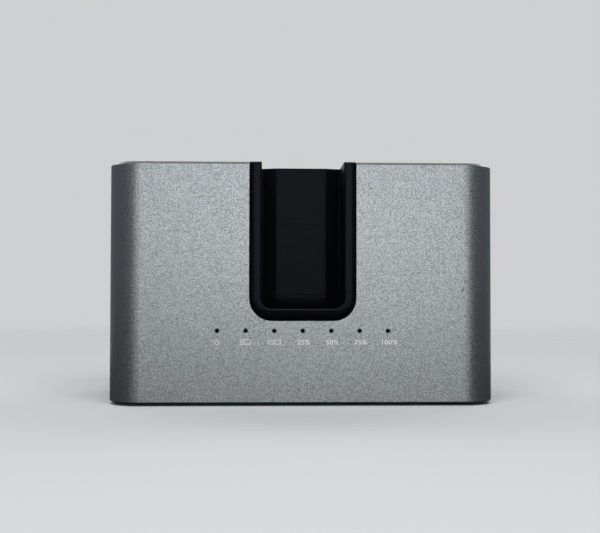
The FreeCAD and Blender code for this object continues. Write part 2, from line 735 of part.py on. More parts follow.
def make_drive_bay():
    """Chute for the drive, with a recess behind for the open doors."""
    body = new_body("drive_bay")
    front, back = f"({BAY_FRONT} - bayWall)", f"({BAY_BACK} + bayWall)"
    floor_under = f"({BAY_FLOOR} - bayFloorThickness)"
    slope_foot = f"({RECESS_FOOT} - recessSlope)"
    outside = [
        (front, floor_under), (back, floor_under), (back, f"{slope_foot} - bayWall"),
        (f"{RECESS_BACK} + bayWall", f"{RECESS_FOOT} - bayWall"),
        (f"{RECESS_BACK} + bayWall", COLLAR_FOOT), (front, COLLAR_FOOT),
    ]
    pad(body, "YZ", 0, f"2 * ({BAY_HALF} + bayWall)", (outline, outside), both_ways=True)
    inside = [
        (BAY_FRONT, BAY_FLOOR), (BAY_BACK, BAY_FLOOR), (BAY_BACK, slope_foot),
        (RECESS_BACK, RECESS_FOOT), (RECESS_BACK, f"{COLLAR_FOOT} + {PAST}"),
        (BAY_FRONT, f"{COLLAR_FOOT} + {PAST}"),
    ]
    pocket(body, "YZ", 0, f"2 * {BAY_HALF}", (outline, inside), both_ways=True)
    half, deep = "(driveSocketWidth / 2 + driveSocketGap)", "(driveSocketDepth / 2 + driveSocketGap)"
    sides = (f"{SOCKET_X} - {half}", f"{SOCKET_X} + {half}")
    window = (rectangle, *sides, f"{SOCKET_Y} - {deep}", f"{SOCKET_Y} + {deep}")
    pocket(body, "XY", f"{BAY_FLOOR} + {PAST}", f"bayFloorThickness + 2 * {PAST}", window)
    ears, holes = [], []
    for x, y in ear_places():
        reach = span(1 if number(x) > 0 else -1, f"{BAY_HALF} + bayWall / 2", EAR_REACH)
        ears.append((rectangle, *reach, f"{y} - earSize / 2", f"{y} + earSize / 2"))
        holes.append((circle, x, y, "earScrewRadius + screwGap"))
    pad(body, "XY", f"{COLLAR_FOOT} - earThickness", "earThickness", *ears, *holes)


def lip_ring(half, floor, corner, top):
    """A U between this outline and the inside of the lip, for a sketch that faces the front."""
    return outline, [
        (f"-{half}", top), (f"-{half}", floor, corner), (half, floor, corner), (half, top),
        (LIP_HALF, top), (LIP_HALF, LIP_FLOOR, LIP_CORNER), (f"-{LIP_HALF}", LIP_FLOOR, LIP_CORNER),
        (f"-{LIP_HALF}", top),
    ]


def make_channel():
    """Front channel: a rounded lip that stands in the notch, a flange behind it and the trough."""
    body = new_body("front_channel")
    outer = f"({NOTCH_HALF} - notchGap)"
    lip = lip_ring(outer, f"({NOTCH_FLOOR} + notchGap)", "(notchCorner - notchGap)", RIM)
    flange_front = f"({INNER_FRONT} + notchGap)"
    made = pad(body, "XZ", f"-{LIP_FRONT}", f"{flange_front} - {LIP_FRONT}", lip, reverse=True)
    face, rim = number(LIP_FRONT), number(RIM)

    def top_front(edge):
        return lies_at(edge, "y", face) and lies_at(edge, "z", rim)

    made = ease(body, "Chamfer", made, "lipTopChamfer", top_front)
    inner = number(LIP_HALF) + NEAR
    chamfered = number(f"{RIM} - lipTopChamfer")

    def front_edge(edge, outside):
        box = edge.BoundBox
        within = box.XMax < inner and box.XMin > -inner
        upright = box.ZLength > NEAR or box.ZMax < chamfered - NEAR
        return lies_at(edge, "y", face) and upright and within != outside

    made = ease(body, "Fillet", made, "lipRound", lambda e: front_edge(e, True))
    ease(body, "Fillet", made, "lipInnerRound", lambda e: front_edge(e, False))
    wide = f"({NOTCH_HALF} + flangeReach)"
    flange = lip_ring(wide, f"({NOTCH_FLOOR} - flangeReach)", "(notchCorner + flangeReach)", DECK_TOP)
    pad(body, "XZ", f"-{flange_front}", "flangeThickness", flange, reverse=True)
    trough_front = f"({flange_front} + flangeThickness)"
    trough = lip_ring(f"({LIP_HALF} + channelWall)", CHANNEL_FOOT, f"({LIP_CORNER} + channelWall)", RIM)
    pad(body, "XZ", f"-{trough_front}", f"{CHANNEL_REAR} - {trough_front}", trough, reverse=True)
    clear = f"({LIP_HALF} + channelWall + {PAST})"
    for_tray = (rectangle, f"-{clear}", clear, f"{CHANNEL_FOOT} - {PAST}", SEAM)
    pocket(body, "XZ", f"-{TRAY_FRONT}", f"trayReach + {PAST}", for_tray)
    rebates = []
    for side in (-1, 1):
        reach = span(side, f"{LIP_HALF} - panelLand", f"{LIP_HALF} + panelRebate")
        rebates.append((rectangle, *reach, SEAM, f"{RIM} + {PAST}"))
    pocket(body, "XZ", f"-{PANEL_STEP}", "panelThickness", *rebates)


def make_panel():
    """Back wall of the channel: a flat strip between two facets that fall away to thin lands."""
    body = new_body("channel_panel")
    outer = f"({LIP_HALF} + panelRebate - seamGap / 2)"
    land = f"({LIP_HALF} - panelLand)"
    strip = "(panelStrip / 2)"
    section = [
        (f"-{outer}", PANEL_STEP), (f"-{land}", PANEL_STEP), (f"-{strip}", CHANNEL_BACK),
        (strip, CHANNEL_BACK), (land, PANEL_STEP), (outer, PANEL_STEP),
        (outer, CHANNEL_REAR), (f"-{outer}", CHANNEL_REAR),
    ]
    made = pad(body, "XY", SEAM, f"{RIM} - {SEAM}", (outline, section))
    ease(body, "Fillet", made, "creaseRadius", crease)


def crease(edge):
    """True for the two upright edges of the strip."""
    on_strip = abs(abs(edge.BoundBox.Center.x) - number("panelStrip / 2")) < NEAR
    return on_strip and edge.BoundBox.ZLength > NEAR and lies_at(edge, "y", number(CHANNEL_BACK))


def make_tray():
    """Cup that closes the foot of the channel round the card socket, below the panel."""
    body = new_body("channel_tray")
    top = f"({SEAM} - seamGap)"
    back = [
        (f"-{LIP_HALF}", top), (f"-{LIP_HALF}", LIP_FLOOR, LIP_CORNER),
        (LIP_HALF, LIP_FLOOR, LIP_CORNER), (LIP_HALF, top),
    ]
    pad(body, "XZ", f"-{CHANNEL_BACK}", "panelThickness", (outline, back), reverse=True)
    facets = []
    width = f"({LIP_HALF} - panelStrip / 2)"
    fall = f"({CHANNEL_BACK} + facetDrop * (1 + {PAST} / {width}))"
    for side in (-1, 1):
        strip, wall = f"({side} * panelStrip / 2)", f"({side} * ({LIP_HALF} + {PAST}))"
        facets.append((outline, [(strip, CHANNEL_BACK), (wall, f"{CHANNEL_BACK} - {PAST}"), (wall, fall)]))
    made = pocket(body, "XY", SEAM, "seamRise", *facets)
    ease(body, "Fillet", made, "creaseRadius", crease)
    front = f"({TRAY_FRONT} + seamGap / 2)"
    cup = lip_ring(f"({LIP_HALF} + channelWall)", CHANNEL_FOOT, f"({LIP_CORNER} + channelWall)", top)
    pad(body, "XZ", f"-{front}", f"{CHANNEL_REAR} - {front}", cup, reverse=True)
    half = "(socketWidth / 2 + screwGap)"
    hole = (rectangle, f"-{half}", half, f"{RISER_Y} - socketDepth - screwGap", f"{RISER_Y} + screwGap / 2")
    pocket(body, "XY", CHANNEL_FOOT, "channelWall", hole, reverse=True)


def make_base():
    """Bottom plate with board standoffs, vent slots, foot seats and counterbored screw holes."""
    body = new_body("base_cover")
    side = f"({INNER_SIDE} - fitGap)"
    front, back = f"({INNER_FRONT} + fitGap)", f"({INNER_BACK} - fitGap)"
    corner = f"({INNER_CORNER} - fitGap)"
    plate = (rectangle, f"-{side}", side, front, back, corner)
    pad(body, "XY", BASE_UNDER, "baseThickness", plate)
    inside = (
        rectangle, f"skirtThickness - {side}", f"{side} - skirtThickness",
        f"{front} + skirtThickness", f"{back} - skirtThickness", f"{corner} - skirtThickness",
    )
    pad(body, "XY", BASE_TOP, f"{BASE_RIM} - {BASE_TOP}", plate, inside)
    posts = [(circle, x, y, "standoffRadius") for x, y in board_holes()]
    pad(body, "XY", BASE_TOP, "standoffHeight", *posts)
    tie_posts = [(circle, x, y, "tieHeadRadius + tiePostWall") for x, y in corners_of(TIE_X, TIE_Y)]
    pad(body, "XY", BASE_TOP, "standoffHeight", *tie_posts)
    feet = [(circle, x, y, "footRadius + screwGap") for x, y in corners_of(FOOT_X, FOOT_Y)]
    pocket(body, "XY", BASE_UNDER, "footSeat", *feet, reverse=True)
    heads = [(circle, x, y, "tieHeadRadius + screwGap") for x, y in corners_of(TIE_X, TIE_Y)]
    pocket(body, "XY", BASE_UNDER, "tieHeadHeight + tieSlack", *heads, reverse=True)
    holes = [(circle, x, y, "tieRadius + screwGap") for x, y in corners_of(TIE_X, TIE_Y)]
    pocket(body, "XY", BASE_UNDER, f"baseThickness + standoffHeight + {PAST}", *holes, reverse=True)
    pilots = [(circle, x, y, "boardScrewRadius + pilotGap") for x, y in board_holes()]
    pilot_depth = "boardScrewLength - boardThickness + boardScrewSlack"
    pocket(body, "XY", f"{BASE_TOP} + standoffHeight", pilot_depth, *pilots)
    first = "ventPitch * (1 - ventCount) / 2"
    vent = (
        rectangle, f"{first} - ventWidth / 2", f"{first} + ventWidth / 2",
        "-ventLength / 2", "ventLength / 2", "ventCorner",
    )
    cut_vent = pocket(body, "XY", BASE_UNDER, f"baseThickness + {PAST}", vent, reverse=True)
    repeat(body, cut_vent, "X", "ventPitch", "ventCount")


def board_holes():
    """Where the main board is screwed to the base."""
    rows = (f"({BOARD_FRONT} + boardHoleFront)", f"({BOARD_BACK} - boardHoleBack)")
    return [(f"({side} * ({BOARD_HALF} - boardHoleSide))", y) for side in (-1, 1) for y in rows]


def make_fasteners_and_feet():
    """Rubber feet, long tie screws, bay screws and board screws."""
    feet = []
    for i, (x, y) in enumerate(corners_of(FOOT_X, FOOT_Y)):
        pad_part = rod(f"foot_pad_{i}", x, y, BASE_UNDER, "footRadius", "footSeat")
        cone = doc.addObject("Part::Cone", f"foot_tread_{i}")
        bind(cone, Radius1="footRadius - footTaper", Radius2="footRadius", Height=BASE_UNDER)
        bind(cone, Base_x=x, Base_y=y)
        feet.append(joined(f"foot_{i}", cone, pad_part))
    group("rubber_feet", feet)
    tie_seat = f"({BASE_UNDER} + tieHeadHeight + tieSlack)"
    tie_length = f"({DECK_UNDER} - tieBossHeight + tieGrip - {tie_seat})"
    ties = [
        screw(f"tie_{i}", x, y, tie_seat, "tieHeadRadius", "tieHeadHeight", "tieRadius", tie_length)
        for i, (x, y) in enumerate(corners_of(TIE_X, TIE_Y))
    ]
    group("tie_screws", ties)
    ear_under = f"({COLLAR_FOOT} - earThickness)"
    ears = [
        screw(f"bay_screw_{i}", x, y, ear_under, "earHeadRadius", "earHeadHeight", "earScrewRadius",
              "earThickness + earScrewLength - earScrewSlack")
        for i, (x, y) in enumerate(ear_places())
    ]
    group("bay_screws", ears)
    boards = []
    point = f"{BOARD_TOP} - boardScrewLength"
    for i, (x, y) in enumerate(board_holes()):
        head = rod(f"board_head_{i}", x, y, BOARD_TOP, "boardHeadRadius", "boardHeadHeight")
        shank = rod(f"board_shank_{i}", x, y, point, "boardScrewRadius", "boardScrewLength")
        boards.append(joined(f"board_screw_{i}", head, shank))
    group("board_screws", boards)


def make_lights():
    """Smoked light guide with one pin for each hole, the lamps behind it and their board."""
    body = new_body("light_guide")
    bar_front = f"({INNER_FRONT} + guideStandoff)"
    half = "(lightPitch * (lightCount - 1) / 2 + guideHeight / 2)"
    bar = (rectangle, f"-{half}", half, f"{LIGHT_Z} - guideHeight / 2", f"{LIGHT_Z} + guideHeight / 2")
    pad(body, "XZ", f"-{bar_front}", "guideThickness", bar, reverse=True)
    first = "lightPitch * (1 - lightCount) / 2"
    reach = "sleeveWall + guideStandoff - pinRecess"
    pin = pad(body, "XZ", f"-{bar_front}", reach, (circle, first, LIGHT_Z, "lightHole - pinGap"))
    repeat(body, pin, "X", "lightPitch", "lightCount")
    lamps = []
    depth = (f"{LIGHT_BOARD_Y} - chipThickness", LIGHT_BOARD_Y)
    height = (f"{LIGHT_Z} - chipHeight / 2", f"{LIGHT_Z} + chipHeight / 2")
    for i in range(int(number("lightCount"))):
        x = f"(lightPitch * ({i} - (lightCount - 1) / 2))"
        lamps.append(block(f"lamp_{i}", f"{x} - chipWidth / 2", f"{x} + chipWidth / 2", *depth, *height))
    group("led_chips", lamps)
    board = block("led_board", "-lightBoardWidth / 2", "lightBoardWidth / 2", LIGHT_BOARD_Y,
                  LIGHT_BOARD_REAR, BOARD_TOP, f"{LIGHT_Z} + lightBoardRise")
    node(board, "led_board")


def make_boards():
    """Main board, the upright card board and the headers that join them."""
    board = block("main_board_blank", f"-{BOARD_HALF}", BOARD_HALF, BOARD_FRONT, BOARD_BACK,
                  BOARD_UNDER, BOARD_TOP)
    below = f"{BOARD_UNDER} - {PAST}"
    for i, (x, y) in enumerate(board_holes()):
        bore = "boardScrewRadius + screwGap"
        drill = rod(f"board_drill_{i}", x, y, below, bore, f"boardThickness + 2 * {PAST}")
        board = cut(f"main_board_{i}", board, drill)
    node(board, "main_board")
    riser_rear = f"({RISER_Y} + riserThickness)"
    riser = block("riser_board", "-riserWidth / 2", "riserWidth / 2", RISER_Y, riser_rear,
                  BOARD_TOP, CHANNEL_FOOT)
    node(riser, "riser_board")
    header_top = f"{BOARD_TOP} + headerHeight"
    headers = []
    for width, front in (("lightHeaderWidth", LIGHT_BOARD_REAR), ("riserHeaderWidth", riser_rear)):
        place = (f"-{width} / 2", f"{width} / 2", front, f"{front} + headerDepth")
        headers.append(block(f"{width}_block", *place, BOARD_TOP, header_top))
    group("board_headers", headers)


def make_card_socket():
    """Edge socket for the M.2 card, on the front of the upright board, and its contacts."""
    front = f"({RISER_Y} - socketDepth)"
    low = f"({CARD_SOCKET_TOP} - socketBodyHeight)"
    body = block("card_socket_body", "-socketWidth / 2", "socketWidth / 2", front, RISER_Y,
                 low, CARD_SOCKET_TOP)
    middle = f"({RISER_Y} - socketDepth / 2)"
    slot_foot = f"{CARD_SOCKET_TOP} - socketSlotDepth"
    mouth = block("card_socket_mouth", "-socketMouth / 2", "socketMouth / 2", f"{middle} - socketSlot / 2",
                  f"{middle} + socketSlot / 2", slot_foot, f"{CARD_SOCKET_TOP} + {PAST}")
    node(cut("m2_socket", body, mouth), "m2_socket")
    thick = number("contactThickness")
    wide = number("contactWidth") / 2
    tall = number("socketSlotDepth - contactDrop")
    pieces = []
    count = int(number("cardContactCount"))
    step = number("socketMouth") / (count + 1)
    for i in range(count):
        x = step * (i + 1) - number("socketMouth") / 2 - wide / 2
        for y in (number(f"{middle} - socketSlot / 2"), number(f"{middle} + socketSlot / 2") - thick):
            pieces.append(Part.makeBox(wide, thick, tall, Vector(x, y, number(slot_foot))))
    contacts = doc.addObject("Part::Feature", "m2_contacts")
    contacts.Shape = Part.makeCompound(pieces)
    node(contacts, "m2_contacts")


def make_drive_socket():
    """Upright drive socket with a data slot and a power slot, and its row of contacts."""
    body = block_at("drive_socket_body", SOCKET_X, SOCKET_Y, BOARD_TOP,
                    "driveSocketWidth", "driveSocketDepth", "driveSocketHeight")
    top = f"({BOARD_TOP} + driveSocketHeight)"
    slots_width = "(dataSlotWidth + slotBridge + powerSlotWidth)"
    data_west = f"({SOCKET_X} - {slots_width} / 2)"
    power_west = f"({data_west} + dataSlotWidth + slotBridge)"
    slot_foot = f"({top} - tongueSlotDepth)"
    part = body
    for i, (west, width) in enumerate(((data_west, "dataSlotWidth"), (power_west, "powerSlotWidth"))):
        spots = (west, f"{west} + {width}", f"{SOCKET_Y} - tongueSlot / 2", f"{SOCKET_Y} + tongueSlot / 2")
        slit = block(f"drive_slot_{i}", *spots, slot_foot, f"{top} + {PAST}")
        part = cut(f"drive_socket_{i}", part, slit)
    node(part, "sata_socket")
    thick = number("contactThickness")
    wide = number("contactWidth")
    tall = number("tongueSlotDepth - contactDrop")
    pieces = []
    y, z = number(f"{SOCKET_Y} + tongueSlot / 2") - thick, number(slot_foot)
    for west, width, count in (
        (data_west, "dataSlotWidth", "dataContactCount"), (power_west, "powerSlotWidth", "powerContactCount"),
    ):
        first = number(f"{west} + {width} / 2 - contactPitch * ({count} - 1) / 2 - contactWidth / 2")
        for i in range(int(number(count))):
            corner = Vector(first + number("contactPitch") * i, y, z)
            pieces.append(Part.makeBox(wide, thick, tall, corner))
    contacts = doc.addObject("Part::Feature", "sata_contacts")
    contacts.Shape = Part.makeCompound(pieces)
    node(contacts, "sata_contacts")


def knuckle(body, west, east):
    """One hinge knuckle under a door, from west to east."""
    length = f"({east}) - ({west})"
    in_plate = f"{DOOR_UNDER} + doorThickness / 2"
    web = (rectangle, f"{HINGE_Y} - barrelRadius", f"{HINGE_Y} + barrelRadius", HINGE_Z, in_plate)
    pad(body, "YZ", west, length, web)
    pad(body, "YZ", west, length, (circle, HINGE_Y, HINGE_Z, "barrelRadius"))


def finish_door(body, plate_edges, west, east, spring):
    """Knuckles on both sides of the spring, the pin bore and the eased top edges of a door."""
    plate = pad(body, "XY", DOOR_UNDER, "doorThickness", plate_edges)
    top = number(DECK_TOP)
    ease(body, "Chamfer", plate, "doorChamfer", lambda e: lies_at(e, "z", top))
    knuckle(body, west, f"{spring} - springLength / 2")
    knuckle(body, f"{spring} + springLength / 2", east)
    bore = (circle, HINGE_Y, HINGE_Z, "hingePinRadius + hingePinGap")
    pocket(body, "YZ", 0, f"2 * ({BAY_HALF} + {PAST})", bore, both_ways=True)


def make_doors():
    """Two sprung doors on one pin: an L-shaped one, and a slim one for thin drives in its corner."""
    front = f"({BAY_FRONT} + doorGap)"
    wide_west = f"({SLIM_EAST} + doorGap)"
    wide_step = f"({SLIM_FRONT} - doorGap)"
    wide = new_body("bay_door")
    shape = [
        (f"-{DOOR_HALF}", front), (DOOR_HALF, front), (DOOR_HALF, DOOR_REAR),
        (wide_west, DOOR_REAR), (wide_west, wide_step), (f"-{DOOR_HALF}", wide_step),
    ]
    finish_door(wide, (outline, shape), wide_west, DOOR_HALF, WIDE_SPRING)
    slim = new_body("slim_door")
    plate = (rectangle, f"-{DOOR_HALF}", SLIM_EAST, SLIM_FRONT, DOOR_REAR)
    finish_door(slim, plate, f"-{DOOR_HALF}", SLIM_EAST, SLIM_SPRING)
    reach = f"({BAY_HALF} + hingePinSeat)"
    pin = rod("hinge_pin", f"-{reach}", HINGE_Y, HINGE_Z, "hingePinRadius", f"2 * {reach}", axis="X")
    node(pin, "hinge_pin")
    door_spring("bay_door_spring", WIDE_SPRING)
    door_spring("slim_door_spring", SLIM_SPRING)


def door_spring(label, middle):
    """Torsion spring round the pin: one leg runs under the door, the other down the recess wall."""
    radius, pitch = number("springCoilRadius"), number("springPitch")
    turns = number("springTurns") + 0.25
    coil = Part.makeHelix(pitch, pitch * turns, radius)
    start_x = number(middle) + pitch * turns / 2
    lay = Placement(Vector(start_x, number(HINGE_Y), number(HINGE_Z)), Rotation(Vector(0, 1, 0), -90))
    coil.Placement = lay
    helix = coil.Edges[0]
    first, last = helix.valueAt(helix.FirstParameter), helix.valueAt(helix.LastParameter)
    door_leg = Part.LineSegment(first - Vector(0, number("springDoorLeg"), 0), first).toShape()
    wall_leg = Part.LineSegment(last, last - Vector(0, 0, number("springWallLeg"))).toShape()
    path = Part.Wire([door_leg, helix, wall_leg])
    wire = Part.Circle(door_leg.Vertexes[0].Point, Vector(0, 1, 0), number("springWire") / 2).toShape()
    feature = doc.addObject("Part::Feature", label)
    feature.Shape = path.makePipeShell([Part.Wire([wire])], True, True)
    node(feature, label)


def make_rear_connectors():
    """USB-C receptacle and round power inlet, which face the cut-outs of the back wall."""
    shell = new_body("usb_c_shell")
    face = f"({BACK} - plugRecess)"
    rear = f"({face} - plugLength)"
    outside = (slot, "plugX", PLUG_Z, "plugWidth", "plugHeight")
    inside = (slot, "plugX", PLUG_Z, "(plugWidth - 2 * plugShell)", "(plugHeight - 2 * plugShell)")
    pad(shell, "XZ", f"-{rear}", "plugLength", outside, inside, reverse=True)
    core = new_body("usb_c_core")
    rim = "2 * (plugShell + plugCoreGap)"
    fill = (slot, "plugX", PLUG_Z, f"(plugWidth - {rim})", f"(plugHeight - {rim})")
    pad(core, "XZ", f"-{rear}", "plugLength - plugTongueLength - plugRecess", fill, reverse=True)
    tongue = (
        rectangle, "plugX - plugTongueWidth / 2", "plugX + plugTongueWidth / 2",
        f"{PLUG_Z} - plugTongueThickness / 2", f"{PLUG_Z} + plugTongueThickness / 2",
    )
    pad(core, "XZ", f"-{rear}", "plugLength - plugRecess", tongue, reverse=True)
    jack_face = f"({INNER_BACK} - wallTouch)"
    jack = new_body("dc_inlet")
    sides = (f"{INLET_X} - inletWidth / 2", f"{INLET_X} + inletWidth / 2")
    box = (rectangle, *sides, BOARD_TOP, f"{BOARD_TOP} + inletHeight")
    pad(jack, "XZ", f"-{jack_face}", "inletLength", box)
    bore = (circle, INLET_X, INLET_Z, "inletBore")
    pocket(jack, "XZ", f"-{jack_face}", "inletBoreDepth", bore, reverse=True)
    foot = f"({jack_face} - inletBoreDepth)"
    node(rod("dc_pin", INLET_X, foot, INLET_Z, "inletPinRadius", "inletPinLength", axis="Y"), "dc_pin")


def make_switch():
    """Snap-in power switch: housing, tilting rocker and solder legs."""
    housing = new_body("switch_housing")
    half, tall = "(switchWidth / 2)", "(switchHeight / 2)"
    rim = (
        rectangle, f"{SWITCH_X} - {half} - bezelRim", f"{SWITCH_X} + {half} + bezelRim",
        f"{SWITCH_Z} - {tall} - bezelRim", f"{SWITCH_Z} + {tall} + bezelRim", "bezelRim",
    )
    made = pad(housing, "XZ", f"-{BACK}", "bezelProud", rim, reverse=True)
    outer = number(f"{BACK} + bezelProud")
    ease(housing, "Fillet", made, "bezelProud / 2", lambda e: lies_at(e, "y", outer))
    sides = (f"{SWITCH_X} - {half}", f"{SWITCH_X} + {half}")
    can = (rectangle, *sides, f"{SWITCH_Z} - {tall}", f"{SWITCH_Z} + {tall}")
    pad(housing, "XZ", f"-{BACK}", "switchLength", can)
    well = (
        rectangle, f"{SWITCH_X} - {half} + switchWell", f"{SWITCH_X} + {half} - switchWell",
        f"{SWITCH_Z} - {tall} + switchWell", f"{SWITCH_Z} + {tall} - switchWell",
    )
    pocket(housing, "XZ", f"-{BACK} - bezelProud", "switchWellDepth", well, reverse=True)
    bearing = (circle, SWITCH_X, PIVOT_Y, "trunnionRadius + trunnionGap")
    bearing_span = "(switchHeight - 2 * switchWell + 2 * trunnionLength + 2 * trunnionGap)"
    pocket(housing, "XY", SWITCH_Z, bearing_span, bearing, both_ways=True)
    rocker = new_body("power_rocker")
    long_half = f"({half} - switchWell - rockerSwing)"
    flare = f"(rockerCrown + {long_half} * tan(rockerTilt))"
    profile = [
        (f"-{long_half}", flare), (f"-{long_half}", 0), ("-rockerRootHalf", "-rockerRoot"),
        ("rockerRootHalf", "-rockerRoot"), (long_half, 0), (long_half, flare), (0, "rockerCrown"),
    ]
    thick = "(switchHeight - 2 * switchWell - 2 * rockerGap)"
    pad(rocker, "XY", 0, thick, (outline, profile), both_ways=True)
    trunnion = (circle, 0, 0, "trunnionRadius")
    pad(rocker, "XY", 0, f"{thick} + 2 * rockerGap + 2 * trunnionLength", trunnion, both_ways=True)
    bind(rocker, Base_x=SWITCH_X, Base_y=PIVOT_Y, Base_z=SWITCH_Z)
    rocker.Placement.Rotation = Rotation(Vector(0, 0, 1), number("rockerTilt"))
    rocker.setExpression("Placement.Rotation.Angle", cell("rockerTilt"))
    y = f"({BACK} - switchLength + legInset)"
    leg = ("legWidth", "legThickness", "switchRise - switchHeight / 2")
    legs = [
        block_at(f"switch_leg_{name}", f"({SWITCH_X} + {side} * switchWidth / 4)", y, BOARD_TOP, *leg)
        for name, side in (("west", -1), ("east", 1))
    ]
    group("switch_legs", legs)


def make_clone_button():
    """Push button that starts a copy, with its plunger and the switch behind it."""
    cap = new_body("clone_button")
    length = f"{BACK} + buttonProud - {FLANGE_FACE}"
    stem = (circle, "cloneX", CLONE_Z, "buttonRadius")
    made = pad(cap, "XZ", f"-{FLANGE_FACE}", length, stem, reverse=True)
    tip = number(f"{BACK} + buttonProud")
    ease(cap, "Fillet", made, "buttonDome", lambda e: lies_at(e, "y", tip))
    flange = (circle, "cloneX", CLONE_Z, "buttonFlange")
    pad(cap, "XZ", f"-{FLANGE_FACE}", "buttonFlangeThickness", flange)
    flange_rear = f"({FLANGE_FACE} - buttonFlangeThickness)"
    plunger_rear = f"({flange_rear} - plungerLength)"
    plunger = rod("clone_plunger", "cloneX", plunger_rear, CLONE_Z,
                  "plungerRadius", "plungerLength", axis="Y")
    node(plunger, "clone_plunger")
    tact_face = f"({flange_rear} - buttonTravel - pressGap)"
    body = block("tact_body", "cloneX - tactWidth / 2", "cloneX + tactWidth / 2",
                 f"{tact_face} - tactLength", tact_face, BOARD_TOP, f"{BOARD_TOP} + tactHeight")
    bore_rear = f"({plunger_rear} - buttonTravel - plungerSlack)"
    bore = rod("tact_bore", "cloneX", bore_rear, CLONE_Z,
               "plungerRadius + plungerGap", f"{tact_face} - {bore_rear} + {PAST}", axis="Y")
    node(cut("clone_switch", body, bore), "clone_switch")


def make_board_parts():
    """Chips, heat sink, inductors, capacitors and crystal on the main board."""
    square = ("bridgeSize", "bridgeSize")
    node(block_at("bridge_chip", "bridgeX", BRIDGE_Y, BOARD_TOP, *square, "bridgeThickness"), "bridge_chip")
    chip_top = f"({BOARD_TOP} + bridgeThickness)"
    node(block_at("thermal_pad", "bridgeX", BRIDGE_Y, chip_top, *square, "padThickness"), "thermal_pad")
    sink_foot = f"({chip_top} + padThickness)"
    sink = new_body("heat_sink")
    west, east = "(bridgeX - sinkSize / 2)", "(bridgeX + sinkSize / 2)"
    south, north = f"({BRIDGE_Y} - sinkSize / 2)", f"({BRIDGE_Y} + sinkSize / 2)"
    pad(sink, "XY", sink_foot, "sinkBase", (rectangle, west, east, south, north))
    first_fin = (rectangle, west, f"{west} + finThickness", south, north)
    fin = pad(sink, "XY", f"{sink_foot} + sinkBase", "finHeight", first_fin)
    repeat(sink, fin, "X", "((sinkSize - finThickness) / (finCount - 1))", "finCount")
    chip = block_at("controller_chip", "controllerX", "controllerY", BOARD_TOP,
                    "controllerSize", "controllerSize", "controllerThickness")
    node(chip, "controller_chip")
    coil = ("coilSize", "coilSize", "coilHeight")
    coils = [
        block_at(f"coil_{i}", f"({COIL_X} + {i} * coilPitch)", COIL_Y, BOARD_TOP, *coil)
        for i in range(int(number("coilCount")))
    ]
    group("power_inductors", coils)
    can = ("capacitorRadius", "capacitorHeight")
    cans = [
        rod(f"can_{i}", f"(capacitorX - {i} * capacitorPitch)", CAPACITOR_Y, BOARD_TOP, *can)
        for i in range(int(number("capacitorCount")))
    ]
    group("capacitors", cans)
    crystal = new_body("crystal")
    lozenge = (slot, "crystalX", "crystalY", "crystalLength", "crystalWidth")
    pad(crystal, "XY", BOARD_TOP, "crystalHeight", lozenge)


make_sleeve()
make_deck()
make_drive_bay()
make_channel()
make_panel()
make_tray()
make_base()
make_fasteners_and_feet()
make_lights()
make_boards()
make_card_socket()
make_drive_socket()
make_doors()
make_rear_connectors()
make_switch()
make_clone_button()
make_board_parts()
doc.recompute()

for item in doc.Objects:
    if {"Invalid", "Error"} & set(item.State):
        raise RuntimeError(f"{item.Label} failed: {item.State}")
for piece in NODES:
    if piece.Shape.isNull() or not piece.Shape.isValid() or not piece.Shape.Solids:
        raise RuntimeError(f"{piece.Label} has no valid solid")

os.makedirs("parts", exist_ok=True)
for piece in NODES:
    piece.Shape.exportStep(f"parts/{piece.Label}.step")
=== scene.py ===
import math
import random

import bmesh
import bpy
from mathutils import Matrix, Vector


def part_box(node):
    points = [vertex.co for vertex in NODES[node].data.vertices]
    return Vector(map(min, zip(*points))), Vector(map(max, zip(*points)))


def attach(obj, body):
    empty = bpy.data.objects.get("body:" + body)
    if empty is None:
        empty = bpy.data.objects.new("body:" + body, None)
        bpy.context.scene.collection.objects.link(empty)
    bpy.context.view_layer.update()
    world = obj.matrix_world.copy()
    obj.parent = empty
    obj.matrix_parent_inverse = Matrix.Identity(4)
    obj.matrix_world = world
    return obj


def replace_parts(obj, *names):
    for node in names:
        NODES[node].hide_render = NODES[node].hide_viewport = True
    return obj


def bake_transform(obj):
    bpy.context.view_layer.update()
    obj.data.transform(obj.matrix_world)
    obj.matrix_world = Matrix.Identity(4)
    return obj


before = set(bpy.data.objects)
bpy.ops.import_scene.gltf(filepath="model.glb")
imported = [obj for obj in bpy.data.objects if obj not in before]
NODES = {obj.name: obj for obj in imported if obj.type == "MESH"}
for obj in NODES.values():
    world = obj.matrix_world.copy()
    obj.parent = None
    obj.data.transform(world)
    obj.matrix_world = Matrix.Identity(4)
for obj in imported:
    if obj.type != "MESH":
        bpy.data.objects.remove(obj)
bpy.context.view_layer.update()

# Studio: the camera stands close in front of the dock, a little left of its middle and just below
# half its height. One wide, low soft box shows in the metal face, a higher one fills, and three stand
# behind the dock, so that the top chamfer lights up on the rounded corners only.
CAMERA_PLACE = Vector((-0.012708, -0.3540, 0.037521))
CAMERA_AIM = Vector((-0.000963, -0.0340, 0.046193))
CAMERA_ROLL = 0.0018
LENS = 57.958
SENSOR = 36.0
NEAREST_SEEN = 0.01
STUDIO_AIM = Vector((0.0, 0.0, 0.045))
KEY_PLACE = Vector((0.062, -1.05, 0.162))
KEY_SIZE = (0.82, 0.20)
KEY_POWER = 1.97
KEY_ROLL = -0.12
FILL_PLACE = Vector((0.0, -0.62, 0.85))
FILL_SIZE = (1.00, 0.62)
FILL_POWER = 7.6
RIM_PLACE = Vector((0.52, 0.50, 0.52))
RIM_SIZE = (0.34, 0.34)
RIM_POWER = 0.9
TOP_PLACE = Vector((0.0, 0.62, 0.95))
TOP_SIZE = (0.9, 0.35)
TOP_POWER = 2.0
FLOOR_SEEN = (0.72, 0.72, 0.715, 1.0)
FLOOR_DIM = (0.07, 0.07, 0.07, 1.0)
